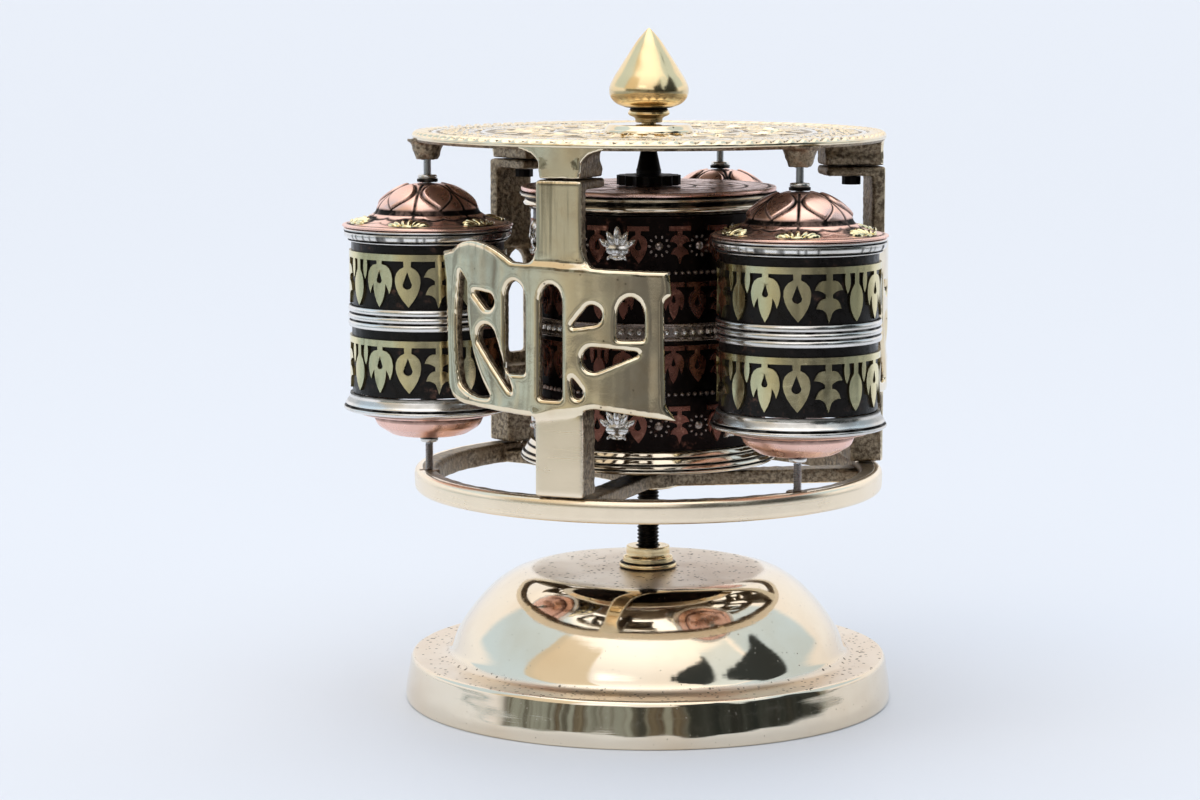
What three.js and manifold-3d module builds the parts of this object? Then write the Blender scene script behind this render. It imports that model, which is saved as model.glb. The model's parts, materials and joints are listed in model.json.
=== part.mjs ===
// Table-top prayer wheel: a turning cage with one large wheel on the centre shaft and three small
// wheels round it, on a domed base. Millimetres, +Z up, origin on the table under the shaft.
import * as THREE from "three";
import { mergeVertices } from "three/addons/utils/BufferGeometryUtils.js";
import Module from "manifold-3d";

const wasm = await Module();
wasm.setup();

// ---------- driving dimensions ----------

const gap = 0.3;                  // between two pieces that touch or run on each other

// base
const baseRadius = 66;
const flangeHeight = 12.2;
const flangeDraft = 0.8;          // the flange's side leans in by this much
const flangeWidth = 11.8;         // from the side to the dome's foot
const plateauRadius = 31;
const plateauHeight = 35.2;
const baseWall = 3.5;
const padThickness = 2;
const padLedge = 3;               // the ledge above the pad
const rimWidth = 6;

// centre shaft and what is on it
const shaftRadius = 3;
const tipSwell = 0.35;            // the pointed end is this much thicker than the shaft
const tipEndRadius = 1.3;
const tipTaper = 8.5;             // length of the taper
const pointReach = 9.2;           // from the crown washer up to the top plate
const collarStep = 4.6;           // the collar's foot beyond its bore
const collarHeight = 5.7;
const nutWall = 1.7;              // at the middle of a flat
const nutHeight = 5;
const thinNutHeight = 3.2;

// main wheel
const mainDrumRadius = 31;
const mainDrumWall = 1;
const mainDrumHeight = 61.4;
const mainRimStep = 3.6;          // the mouldings beyond the drum
const mainLowMouldingHeight = 5.5;
const mainTopMouldingHeight = 4.5;
const mainMouldingSeat = 1.5;     // the mouldings' inner edge inside the drum's face
const mainBandHeight = 4.6;
const mainBandThickness = 0.8;
const mainBandCentre = 31.3;      // above the drum's lower edge
const mainLidThickness = 1.1;
const mainFloorThickness = 1.2;
const crownRadius = 8.6;
const crownHeight = 2.6;
const crownTeeth = 16;
const crownToothDepth = 0.9;

// small wheels
const wheelAngle = 40;            // degrees from the front, the other two at 120 degrees
const wheelClearance = 2.25;      // between the small wheels' rims and the main wheel's
const rodRadius = 1;
const rodThreadRadius = 1.13;
const rodThreadLength = 7.5;      // thread that shows above the ring
const rodShow = 4;                // bare rod between the ferrule and the plate's boss
const axleBossTopRadius = 4.4;
const axleBossRadius = 3;
const axleBossHeight = 4.7;
const axleRingBossRadius = 3.2;
const axleNutRadius = 2.4;
const axleNutHeight = 2;
const ferruleRadius = 2.8;
const ferruleHeight = 2;
const drumRadius = 20.3;
const drumWall = 1;
const drumHeight = 39.8;
const drumSeat = 0.8;             // the mouldings' inner edge inside the drum's face
const dishHeight = 6.6;
const dishFootRadius = 10.5;
const dishRadius = 14.5;
const lowMouldingHeight = 4.6;
const lowMouldingStep = 2.45;     // beyond the drum
const topMouldingHeight = 3.5;
const topMouldingStep = 2.1;
const bandHeight = 5.7;
const bandThickness = 0.7;
const bandCentre = 20.35;         // above the drum's lower edge
const lidStep = 2.4;              // the brim beyond the drum
const lidDomeRadius = 14.1;
const lidHeight = 11.3;
const brimHeight = 3.2;
const sheet = 1;                  // thickness of spun copper
const tubeWall = 0.9;

// cage
const ringRise = 22.2;            // from the base's plateau to the ring
const ringHeight = 6.1;
const ringWidth = 6.1;
const ringMargin = 3.7;           // from the rods' circle to the ring's outer edge
const hubWall = 3.7;
const hubHeight = 4.4;
const guidePlay = 1.3;            // loose guide hole round the shaft
const spokeWidth = 7;
const spokeHeight = 4;
const plateThickness = 2.6;
const plateBossRadius = 11.5;
const plateBossHeight = 1.7;
const pivotDepth = 1.1;           // dimple that the shaft's point turns in
const lugWidth = 11;
const lugFlare = 3.2;             // the lug widens by this on each side where it joins the plate
const lugDepth = 16.3;            // radially
const lugHeight = 7.1;
const uprightAngle = -20.8;       // degrees from the front, the other two at 120 degrees
const uprightStep = 0.4;          // the uprights beyond the ring
const postWidth = 12.6;
const postThickness = 3.6;
const footWidth = 12.9;
const footDepth = 9;
const flangeThickness = 2.5;
const panelStep = 0.6;            // the panel beyond the post
const panelThickness = 3;
const panelRise = 20.5;           // from the ring to the panel
const panelHeight = 38.8;
const panelClearance = 3;         // from the panel's left end to the nearest small wheel
const panelRight = 29.3;
const stemWidth = 4;
const stemCentre = -7.3;
const screwRadius = 1.5;
const screwHeadRadius = 2.6;
const screwHeadHeight = 2.2;
const screwDepth = 8.2;           // thread length in the upright's foot
const topScrewDepth = 5.4;        // thread length in the plate's lug

// finial
const finialHeight = 25.4;
const finialRadius = 10.4;
const finialNeckRadius = 5.7;
const finialStudRadius = 2;
const finialStudLength = 2.1;

// facets round a turn
const baseFacets = 36;
const ringFacets = 36;
const panelFacets = 48;
const mainFacets = 28;
const wheelFacets = 20;
const boreFacets = 16;
const smallFacets = 10;

// ---------- materials ----------

function metal(colour, roughness) {
  return new THREE.MeshStandardMaterial({ color: colour, roughness, metalness: 1 });
}

const polishedBrass = metal(0xd8c49a, 0.12);
const castBrass = metal(0xb9a67c, 0.35);
const goldBrass = metal(0xd9a441, 0.15);
const copper = metal(0xc98468, 0.3);
const whiteMetal = metal(0xc9c8c4, 0.22);
const blackenedCopper = metal(0x2b1c18, 0.4);
const blackSteel = metal(0x1a1918, 0.45);
const steel = metal(0x9a9a98, 0.3);
const paper = new THREE.MeshStandardMaterial({ color: 0xe8dcc0, roughness: 0.9, metalness: 0 });
const felt = new THREE.MeshStandardMaterial({ color: 0x2d2a28, roughness: 1, metalness: 0 });

// ---------- shape helpers ----------

// Turns a profile of [radius, height] points about the upright axis.
function turned(profile, facets) {
  const points = profile.map(([r, z]) => new THREE.Vector2(r, z));
  return new THREE.LatheGeometry(points, facets).rotateX(Math.PI / 2);
}

// A profile that runs round a hole closes on itself.
function turnedRing(profile, facets) {
  return turned([...profile, profile[0]], facets);
}

function disc(radius, bottom, height, facets) {
  return turned([[0, bottom], [radius, bottom], [radius, bottom + height], [0, bottom + height]], facets);
}

function tube(inner, outer, bottom, height, facets) {
  const top = bottom + height;
  return turnedRing([[inner, bottom], [outer, bottom], [outer, top], [inner, top]], facets);
}

function solid(geometry) {
  const bare = geometry.clone();
  bare.deleteAttribute("normal");
  bare.deleteAttribute("uv");
  const merged = mergeVertices(bare, 1e-5);
  return new wasm.Manifold(new wasm.Mesh({
    numProp: 3,
    vertProperties: new Float32Array(merged.attributes.position.array),
    triVerts: new Uint32Array(merged.index.array),
  }));
}

function geometryOf(body) {
  const mesh = body.getMesh();
  const geometry = new THREE.BufferGeometry();
  geometry.setAttribute("position", new THREE.BufferAttribute(mesh.vertProperties, 3));
  geometry.setIndex(new THREE.BufferAttribute(mesh.triVerts, 1));
  return geometry;
}

// A block with its lower face's middle at [x, y, z].
function block(width, depth, height, x, y, z) {
  return new THREE.BoxGeometry(width, depth, height).translate(x, y, z + height / 2);
}

// A prism of an outline drawn in the front plane (x, z), reaching from y = front back by depth.
function frontPrism(shape, front, depth, curveSteps) {
  const geometry = new THREE.ExtrudeGeometry(shape, { depth, bevelEnabled: false, curveSegments: curveSteps });
  return geometry.rotateX(Math.PI / 2).translate(0, front + depth, 0);
}

const radians = (degrees) => degrees * Math.PI / 180;
const thirds = [0, 120, 240];

const object = new THREE.Group();

function add(name, geometry, material, parent = object) {
  const mesh = new THREE.Mesh(geometry, material);
  mesh.name = name;
  parent.add(mesh);
  return mesh;
}

// A group turned about the shaft, so that its own front (-Y) faces the given angle.
function station(angle) {
  const group = new THREE.Group();
  group.rotation.z = radians(angle);
  object.add(group);
  return group;
}

// ---------- stand ----------

const hole = shaftRadius + gap;

function baseCasting() {
  const cavity = baseRadius - rimWidth - padLedge;
  const ceiling = plateauHeight - baseWall;
  const shoulder = [baseRadius - flangeDraft, flangeHeight - 1];
  const rise = plateauHeight - flangeHeight;
  const domeFootRadius = baseRadius - flangeWidth;
  const spread = domeFootRadius - plateauRadius;
  const dome = [[0, 0], [0.13, 0.31], [0.34, 0.59], [0.6, 0.845], [1, 1]];
  const outside = dome.map(([inward, up]) => [domeFootRadius - spread * inward, flangeHeight + rise * up]);
  const inside = [[0.24, 0.4], [0.56, 0.8]]
    .map(([inward, up]) => [cavity - (cavity - plateauRadius) * inward, flangeHeight + (ceiling - flangeHeight) * up]);
  return turnedRing([
    [baseRadius - rimWidth, 0], [baseRadius, 0], shoulder, [baseRadius - flangeDraft - 0.7, flangeHeight],
    ...outside, [hole, plateauHeight], [hole, ceiling], [plateauRadius, ceiling],
    ...inside.reverse(), [cavity - 4, flangeHeight - baseWall], [cavity, flangeHeight - baseWall],
    [cavity, padThickness + gap], [baseRadius - rimWidth, padThickness + gap],
  ], baseFacets);
}

function collar() {
  const foot = plateauHeight + gap;
  const top = foot + collarHeight;
  const collarRadius = hole + collarStep;
  const waist = collarRadius - 1.1;
  const neck = collarRadius - 2;
  return turnedRing([
    [hole, foot], [collarRadius, foot], [collarRadius, foot + 1.1], [waist, foot + 1.4],
    [waist, foot + 2.9], [neck, foot + 3.3], [neck, top], [hole, top],
  ], boreFacets);
}

function hexNut(bottom, height) {
  const outer = (hole + nutWall) / Math.cos(Math.PI / 6);
  const outline = new THREE.Shape();
  for (let corner = 0; corner < 6; corner++) {
    const turn = corner * Math.PI / 3;
    outline[corner ? "lineTo" : "moveTo"](outer * Math.cos(turn), outer * Math.sin(turn));
  }
  outline.closePath();
  outline.holes.push(new THREE.Path().absarc(0, 0, hole, 0, 2 * Math.PI, true));
  return new THREE.ExtrudeGeometry(outline, { depth: height, bevelEnabled: false, curveSegments: smallFacets })
    .translate(0, 0, bottom);
}

const baseNutBottom = plateauHeight - baseWall - gap - nutHeight;
const shaftBottom = baseNutBottom - 2;
const ringBottom = plateauHeight + ringRise;
const ringTop = ringBottom + ringHeight;
const supportBottom = ringBottom + hubHeight + gap;

// main wheel, from the nut that it turns on upwards
const mainBottom = supportBottom + thinNutHeight + gap;
const mainDrumBottom = mainBottom + mainLowMouldingHeight + gap;
const mainDrumTop = mainDrumBottom + mainDrumHeight;
const mainLidBottom = mainDrumTop + gap + mainTopMouldingHeight + gap;
const crownBottom = mainLidBottom + mainLidThickness + gap;
const crownTop = crownBottom + crownHeight;
const mainRimRadius = mainDrumRadius + mainRimStep;
const mainMouldingInner = mainDrumRadius - mainMouldingSeat;

// small wheels, from the nut on the rod upwards
const axleNutBottom = ringTop + rodThreadLength;
const wheelBottom = axleNutBottom + axleNutHeight + gap;
const lowMouldingBottom = wheelBottom + dishHeight + gap;
const drumBottom = lowMouldingBottom + lowMouldingHeight + gap;
const drumTop = drumBottom + drumHeight;
const topMouldingBottom = drumTop + gap;
const lidBottom = topMouldingBottom + topMouldingHeight + gap;
const lidTop = lidBottom + lidHeight;
const ferruleBottom = lidTop + gap;
const lowMouldingRadius = drumRadius + lowMouldingStep;
const topMouldingRadius = drumRadius + topMouldingStep;
const lidRadius = drumRadius + lidStep;
const mouldingInner = drumRadius - drumSeat;
const rodHole = rodRadius + gap;

// cage: the rods' circle clears the main wheel, and the plate clears whichever wheel is taller
const wheelCircle = mainRimRadius + wheelClearance + lowMouldingRadius;
const ringOuterRadius = wheelCircle + ringMargin;
const ringInnerRadius = ringOuterRadius - ringWidth;
const uprightOuterRadius = ringOuterRadius + uprightStep;
const plateRadius = uprightOuterRadius - 0.1;
const plateBottom = Math.max(crownTop + pointReach, ferruleBottom + ferruleHeight + rodShow + axleBossHeight);
const plateTop = plateBottom + plateThickness;
const tipTop = plateBottom + pivotDepth - gap;

function shaft() {
  const tipBottom = crownTop + gap;
  const tipRadius = shaftRadius + tipSwell;
  return turned([
    [0, shaftBottom], [shaftRadius, shaftBottom], [shaftRadius, tipBottom], [tipRadius, tipBottom + 0.2],
    [tipRadius, tipTop - tipTaper], [tipEndRadius, tipTop], [0, tipTop],
  ], boreFacets);
}

add("base_casting", baseCasting(), polishedBrass);
add("base_pad", disc(baseRadius - rimWidth - gap, 0, padThickness, baseFacets), felt);
add("base_collar", collar(), goldBrass);
add("base_nut", hexNut(baseNutBottom, nutHeight), steel);
add("central_shaft", shaft(), blackSteel);
add("support_nut", hexNut(supportBottom, thinNutHeight), blackSteel);

// ---------- main wheel ----------

const tubeInner = hole;
const tubeOuter = tubeInner + 1;

function mainLowMoulding() {
  const top = mainBottom + mainLowMouldingHeight;
  return turnedRing([
    [mainMouldingInner, mainBottom], [mainRimRadius - 0.9, mainBottom], [mainRimRadius, mainBottom + 1],
    [mainRimRadius - 0.4, mainBottom + 2.4], [mainRimRadius - 2, mainBottom + 3.6],
    [mainDrumRadius + 0.9, top], [mainMouldingInner, top],
  ], mainFacets);
}

function mainTopMoulding() {
  const bottom = mainDrumTop + gap;
  const top = bottom + mainTopMouldingHeight;
  return turnedRing([
    [mainMouldingInner, bottom], [mainDrumRadius + 0.9, bottom], [mainRimRadius - 1.2, bottom + 0.6],
    [mainRimRadius - 0.7, bottom + 1.8], [mainRimRadius - 1.3, bottom + 3], [mainRimRadius, bottom + 3.6],
    [mainRimRadius, top], [mainMouldingInner, top],
  ], mainFacets);
}

function crown() {
  const outline = new THREE.Shape();
  const steps = crownTeeth * 2;
  for (let step = 0; step < steps; step++) {
    const radius = crownRadius - (step % 2) * crownToothDepth;
    const turn = step * 2 * Math.PI / steps;
    outline[step ? "lineTo" : "moveTo"](radius * Math.cos(turn), radius * Math.sin(turn));
  }
  outline.closePath();
  outline.holes.push(new THREE.Path().absarc(0, 0, tubeInner + gap, 0, 2 * Math.PI, true));
  return new THREE.ExtrudeGeometry(outline, { depth: crownHeight, bevelEnabled: false, curveSegments: smallFacets })
    .translate(0, 0, crownBottom);
}

const mainFloorBottom = mainBottom + 0.4;
const mainBandBottom = mainDrumBottom + mainBandCentre - mainBandHeight / 2;
const mainScrollBottom = mainFloorBottom + mainFloorThickness + gap;

add("main_bottom_moulding", mainLowMoulding(), polishedBrass);
add("main_floor", tube(tubeOuter + gap, mainMouldingInner - gap, mainFloorBottom, mainFloorThickness, mainFacets),
  blackenedCopper);
add("main_drum", tube(mainDrumRadius - mainDrumWall, mainDrumRadius, mainDrumBottom, mainDrumHeight, mainFacets),
  blackenedCopper);
add("main_middle_band", tube(mainDrumRadius + gap, mainDrumRadius + gap + mainBandThickness,
  mainBandBottom, mainBandHeight, mainFacets), blackenedCopper);
add("main_top_moulding", mainTopMoulding(), polishedBrass);
add("main_lid", tube(hole + gap, mainRimRadius - gap, mainLidBottom, mainLidThickness, mainFacets), copper);
add("crown_washer", crown(), blackSteel);
add("main_hub_tube", tube(tubeInner, tubeOuter, mainBottom, mainLidBottom - gap - mainBottom, boreFacets), steel);
add("main_scroll", tube(tubeOuter + gap, mainMouldingInner - 1.5, mainScrollBottom,
  mainDrumTop - mainScrollBottom - 0.8, boreFacets), paper);

// ---------- small wheels ----------

function dish() {
  const top = wheelBottom + dishHeight;
  return turnedRing([
    [rodHole, wheelBottom], [dishFootRadius, wheelBottom], [dishRadius - 0.8, wheelBottom + 2.4],
    [dishRadius, wheelBottom + 5.2], [mouldingInner, top - 0.5], [mouldingInner, top],
    [dishRadius - sheet, top], [dishRadius - sheet, wheelBottom + 4.6],
    [dishFootRadius - 0.4, wheelBottom + sheet], [rodHole, wheelBottom + sheet],
  ], wheelFacets);
}

function lowMoulding() {
  const top = lowMouldingBottom + lowMouldingHeight;
  return turnedRing([
    [mouldingInner, lowMouldingBottom], [lowMouldingRadius - 0.5, lowMouldingBottom],
    [lowMouldingRadius, lowMouldingBottom + 1], [lowMouldingRadius - 1.4, lowMouldingBottom + 3],
    [drumRadius + 0.9, top], [mouldingInner, top],
  ], wheelFacets);
}

function topMoulding() {
  const top = topMouldingBottom + topMouldingHeight;
  return turnedRing([
    [mouldingInner, topMouldingBottom], [drumRadius + 0.9, topMouldingBottom],
    [topMouldingRadius, topMouldingBottom + 1.3], [topMouldingRadius, top], [mouldingInner, top],
  ], wheelFacets);
}

function lid() {
  const brimTop = lidBottom + brimHeight;
  const rise = lidTop - brimTop;
  return turnedRing([
    [rodHole, lidTop], [rodHole, lidTop - sheet], [4.6, lidTop - sheet - 0.2],
    [lidDomeRadius - 3, brimTop + rise * 0.25], [lidDomeRadius - 1, brimTop - 0.9], [lidRadius - 1.4, lidBottom],
    [lidRadius, lidBottom], [lidRadius, lidBottom + 0.5], [lidDomeRadius, brimTop],
    [lidDomeRadius - 2, brimTop + rise * 0.37], [lidDomeRadius - 5.2, brimTop + rise * 0.74], [5, lidTop - 0.2],
  ], wheelFacets);
}

function smallWheel(side, place) {
  const scrollBottom = drumBottom + 0.5;
  const scrollInner = rodHole + tubeWall + gap;
  const bandInner = drumRadius + gap;
  const piece = (part, geometry, material) => add(`${side}_${part}`, geometry.translate(0, -wheelCircle, 0), material, place);
  piece("dish", dish(), copper);
  piece("bottom_moulding", lowMoulding(), whiteMetal);
  piece("drum", tube(drumRadius - drumWall, drumRadius, drumBottom, drumHeight, wheelFacets), blackenedCopper);
  piece("middle_band", tube(bandInner, bandInner + bandThickness,
    drumBottom + bandCentre - bandHeight / 2, bandHeight, wheelFacets), whiteMetal);
  piece("top_moulding", topMoulding(), whiteMetal);
  piece("lid", lid(), copper);
  piece("hub_tube", tube(rodHole, rodHole + tubeWall, wheelBottom + sheet + gap,
    lidTop - wheelBottom - 2 * (sheet + gap), smallFacets), steel);
  piece("scroll", tube(scrollInner, drumRadius - drumWall - gap, scrollBottom, drumHeight - 1, smallFacets), paper);
}

// The rod stands in the ring and in the plate's boss, and carries the ferrule above and the nut below.
function axle(side, place) {
  const rodBottom = ringBottom + gap;
  const rodTop = plateBottom - gap;
  const piece = (part, geometry, material) => add(`axle_${part}_${side}`, geometry.translate(0, -wheelCircle, 0), material, place);
  piece("rod", turned([
    [0, rodBottom], [rodThreadRadius, rodBottom], [rodThreadRadius, axleNutBottom - gap],
    [rodRadius, axleNutBottom], [rodRadius, rodTop], [0, rodTop],
  ], smallFacets), steel);
  piece("nut", tube(rodHole, axleNutRadius, axleNutBottom, axleNutHeight, smallFacets), steel);
  piece("ferrule", tube(rodHole, ferruleRadius, ferruleBottom, ferruleHeight, smallFacets), whiteMetal);
}

const wheelStations = { right: wheelAngle, rear: wheelAngle + 120, left: wheelAngle - 120 };
for (const [side, angle] of Object.entries(wheelStations)) {
  const place = station(angle);
  smallWheel(side, place);
  axle(side, place);
}

// ---------- cage ----------

const lugBottom = plateBottom - lugHeight;
const flangeTop = lugBottom - gap;
const uprightBottom = ringTop + gap;
const footScrewCircle = uprightOuterRadius - footDepth / 2 - 0.2;
const topScrewCircle = uprightOuterRadius - lugDepth / 2;
const screwHole = screwRadius + gap;
const guideRadius = shaftRadius + guidePlay;
const hubRadius = guideRadius + hubWall;
const panelOuterRadius = uprightOuterRadius + panelStep;
const panelBottom = ringTop + panelRise;
const panelTop = panelBottom + panelHeight;
const footTop = panelBottom + 2;

// Turned about the shaft from the front to the given angle.
function atAngle(geometry, angle) {
  return solid(geometry.clone().rotateZ(radians(angle)));
}

function bottomRing() {
  let body = solid(tube(ringInnerRadius, ringOuterRadius, ringBottom, ringHeight, ringFacets))
    .add(solid(tube(guideRadius, hubRadius, ringBottom, hubHeight, boreFacets)));
  const spokeInner = (guideRadius + hubRadius) / 2;
  const spokeOuter = (ringInnerRadius + ringOuterRadius) / 2;
  const spoke = block(spokeWidth, spokeOuter - spokeInner, spokeHeight,
    0, -(spokeInner + spokeOuter) / 2, ringBottom + 0.2);
  const screwSeat = disc(screwHeadRadius + gap, ringBottom - 1, 1 + screwHeadHeight + 2 * gap, smallFacets)
    .translate(0, -footScrewCircle, 0);
  const screwWay = disc(screwHole, ringBottom, ringHeight + 1, smallFacets).translate(0, -footScrewCircle, 0);
  const rodBoss = disc(axleRingBossRadius, ringBottom, ringHeight, smallFacets).translate(0, -wheelCircle, 0);
  const rodWay = disc(rodThreadRadius + gap, ringBottom - 1, ringHeight + 2, smallFacets)
    .translate(0, -wheelCircle, 0);
  for (const turn of thirds) {
    body = body.add(atAngle(spoke, uprightAngle + turn)).add(atAngle(rodBoss, wheelAngle + turn));
  }
  for (const turn of thirds) {
    body = body.subtract(atAngle(screwSeat, uprightAngle + turn)).subtract(atAngle(screwWay, uprightAngle + turn))
      .subtract(atAngle(rodWay, wheelAngle + turn));
  }
  return geometryOf(body);
}

function topPlate() {
  const bossTop = plateTop + plateBossHeight;
  const studHole = finialStudRadius + gap;
  let body = solid(turned([
    [0, plateBottom + pivotDepth], [tipEndRadius + gap, plateBottom + pivotDepth], [tipEndRadius + gap, plateBottom],
    [plateRadius - 0.8, plateBottom], [plateRadius, plateBottom + 1.2], [plateRadius - 0.4, plateTop],
    [plateBossRadius, plateTop], [plateBossRadius - 0.7, bossTop], [studHole, bossTop],
    [studHole, bossTop - finialStudLength - gap], [0, bossTop - finialStudLength - gap],
  ], ringFacets));
  const half = lugWidth / 2;
  const root = plateBottom + 0.8;
  const outline = new THREE.Shape();
  outline.moveTo(-half, lugBottom);
  outline.lineTo(half, lugBottom);
  outline.quadraticCurveTo(half + 1.2, plateBottom - 0.6, half + lugFlare, plateBottom);
  outline.lineTo(half + lugFlare, root);
  outline.lineTo(-half - lugFlare, root);
  outline.lineTo(-half - lugFlare, plateBottom);
  outline.quadraticCurveTo(-half - 1.2, plateBottom - 0.6, -half, lugBottom);
  const lug = frontPrism(outline, -uprightOuterRadius + 0.3, lugDepth, 4);
  const lugHole = disc(screwHole, lugBottom - 1, 1 + topScrewDepth + gap, smallFacets).translate(0, -topScrewCircle, 0);
  const bossBottom = plateBottom - axleBossHeight;
  const boss = turned([
    [0, bossBottom], [axleBossRadius, bossBottom], [axleBossTopRadius, plateBottom], [axleBossTopRadius, root], [0, root],
  ], smallFacets).translate(0, -wheelCircle, 0);
  const rodHoleCut = disc(rodHole, bossBottom - 1, 1 + axleBossHeight, smallFacets).translate(0, -wheelCircle, 0);
  for (const turn of thirds) {
    body = body.add(atAngle(lug, uprightAngle + turn)).subtract(atAngle(lugHole, uprightAngle + turn))
      .add(atAngle(boss, wheelAngle + turn)).subtract(atAngle(rodHoleCut, wheelAngle + turn));
  }
  return geometryOf(body);
}

// Tracery outlines are drawn flat as [distance round the panel, height]. Each half of the panel is
// extruded about its own middle and trimmed to the curved wall, so its edges stay nearly radial.
// The left half is drawn to a standard reach, then stretched to end just short of the small wheel.
const drawnReach = 39.5;
const wheelEdge = Math.acos((wheelCircle ** 2 + panelOuterRadius ** 2 - lowMouldingRadius ** 2)
  / (2 * wheelCircle * panelOuterRadius));
const roomOnLeft = radians(uprightAngle - (wheelAngle - 120)) - wheelEdge;
const panelLeft = panelClearance - roomOnLeft * panelOuterRadius;
const leftStretch = -panelLeft / drawnReach;

function leftOutline() {
  const right = stemCentre + stemWidth / 2;
  const outline = new THREE.Shape();
  outline.moveTo(right, panelTop);
  outline.lineTo(right - 8, panelTop + 0.2);
  outline.quadraticCurveTo(-20, panelTop + 4.8, -26.6, panelTop + 5.1);
  outline.quadraticCurveTo(-32, panelTop + 4.6, -34.1, panelTop + 2.4);
  outline.lineTo(-drawnReach, panelTop + 1.5);
  outline.lineTo(1.9 - drawnReach, panelTop - 6);
  outline.lineTo(2.8 - drawnReach, panelBottom + 6);
  outline.quadraticCurveTo(4 - drawnReach, panelBottom + 1.6, -28, panelBottom + 1.4);
  outline.lineTo(right, panelBottom);
  outline.closePath();
  return outline;
}

function rightOutline() {
  const left = stemCentre - stemWidth / 2;
  const outline = new THREE.Shape();
  outline.moveTo(left, panelBottom);
  outline.lineTo(9.6, panelBottom + 2.6);
  outline.lineTo(panelRight + 1.4, panelBottom - 0.3);
  outline.lineTo(panelRight - 1.6, panelBottom + 4);
  outline.lineTo(panelRight - 2, panelTop - 8.7);
  outline.lineTo(panelRight, panelTop - 7.4);
  outline.lineTo(panelRight - 0.7, panelTop - 1.5);
  outline.lineTo(left, panelTop);
  outline.closePath();
  return outline;
}

// A slot with straight lower sides and a pointed arch on top.
function archSlot(left, right, bottom, top) {
  const path = new THREE.Path();
  const spring = top - (right - left) * 0.8;
  path.moveTo(left, bottom);
  path.lineTo(left, spring);
  path.quadraticCurveTo(left, top - 1, (left + right) / 2, top);
  path.quadraticCurveTo(right, top - 1, right, spring);
  path.lineTo(right, bottom);
  path.closePath();
  return path;
}

// A drop with its point at [tipX, tipZ] and its round end at [x, z].
function dropSlot(x, z, radius, tipX, tipZ) {
  const away = Math.atan2(z - tipZ, x - tipX);
  const path = new THREE.Path();
  path.moveTo(tipX, tipZ);
  path.absarc(x, z, radius, away - Math.PI / 2, away + Math.PI / 2, false);
  path.closePath();
  return path;
}

// A crescent that hugs the left edge of the panel.
function crescentSlot() {
  const path = new THREE.Path();
  path.moveTo(-31.5, panelTop - 2.5);
  path.quadraticCurveTo(-35, panelTop - 20, -31.5, panelBottom + 6.5);
  path.quadraticCurveTo(-27, panelBottom + 3, -20, panelBottom + 4);
  path.quadraticCurveTo(-29.6, panelBottom + 16, -28.6, panelTop - 5.5);
  path.closePath();
  return path;
}

function tracery() {
  const left = leftOutline();
  left.holes.push(
    crescentSlot(),
    dropSlot(-21.6, 103.4, 3.2, -12, panelBottom + 3.6),
    dropSlot(-21, panelTop - 10.2, 2.2, -27, panelTop - 7.6),
    archSlot(-15.6, stemCentre - stemWidth / 2, 94.6, panelTop - 4.4),
  );
  const right = rightOutline();
  right.holes.push(
    archSlot(stemCentre + stemWidth / 2, 1, panelBottom + 4.6, panelTop - 4.8),
    dropSlot(9, 110.4, 2.6, 3, 107),
    archSlot(15.2, 22.4, 104.2, panelTop - 7.6),
    dropSlot(9.4, 99.2, 3.2, 22.4, 101.2),
    dropSlot(5.2, 90.6, 1.5, 3, 95.4),
  );
  const wall = solid(tube(panelOuterRadius - panelThickness, panelOuterRadius, panelBottom - 5, 50, panelFacets));
  return [[left, leftStretch, panelLeft], [right, 1, panelRight]].map(([shape, stretch, end]) => {
    const middle = (end + stemCentre) / 2;
    const prism = frontPrism(shape, -panelOuterRadius - 2, 16, 3).scale(stretch, 1, 1).translate(-middle, 0, 0);
    return solid(prism.rotateZ(middle / panelOuterRadius)).intersect(wall);
  });
}

function upright() {
  const outer = uprightOuterRadius;
  const foot = block(footWidth, footDepth, footTop - uprightBottom, 0, -outer + footDepth / 2, uprightBottom);
  const postBottom = panelTop - 4;
  const post = block(postWidth, postThickness, flangeTop - postBottom, 0, -outer + postThickness / 2, postBottom);
  const flange = block(postWidth, lugDepth, flangeThickness, 0, -outer + lugDepth / 2, flangeTop - flangeThickness);
  const footHole = disc(screwHole, uprightBottom - 1, 1 + screwDepth + gap, smallFacets).translate(0, -footScrewCircle, 0);
  const topHole = disc(screwHole, flangeTop - flangeThickness - 1, flangeThickness + 2, smallFacets)
    .translate(0, -topScrewCircle, 0);
  let body = solid(foot).add(solid(post)).add(solid(flange));
  for (const half of tracery()) body = body.add(half);
  return geometryOf(body.subtract(solid(footHole)).subtract(solid(topHole)));
}

// A round-headed screw, head down, reaching up by length from the head's top.
function screw(headBottom, length) {
  const headTop = headBottom + screwHeadHeight;
  return turned([
    [0, headBottom], [screwHeadRadius, headBottom], [screwHeadRadius, headTop], [screwRadius, headTop],
    [screwRadius, headTop + length], [0, headTop + length],
  ], smallFacets);
}

function finial() {
  const foot = plateTop + plateBossHeight + gap;
  const neck = foot + 2.9;
  const onion = neck + 1.4;
  const rise = plateTop + plateBossHeight + finialHeight - onion;
  const bulb = [[0.57, 0], [0.81, 0.055], [0.97, 0.13], [1, 0.22], [0.9, 0.34], [0.66, 0.54], [0.3, 0.82]];
  return turned([
    [0, foot - finialStudLength], [finialStudRadius, foot - finialStudLength], [finialStudRadius, foot],
    [finialNeckRadius - 2.1, foot], [finialNeckRadius - 2, foot + 1.3], [finialNeckRadius, neck], [finialNeckRadius - 1, neck + 0.9],
    ...bulb.map(([out, up]) => [finialRadius * out, onion + rise * up]), [0, onion + rise],
  ], boreFacets);
}

add("bottom_ring", bottomRing(), polishedBrass);
add("top_plate", topPlate(), castBrass);
add("finial", finial(), goldBrass);

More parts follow.
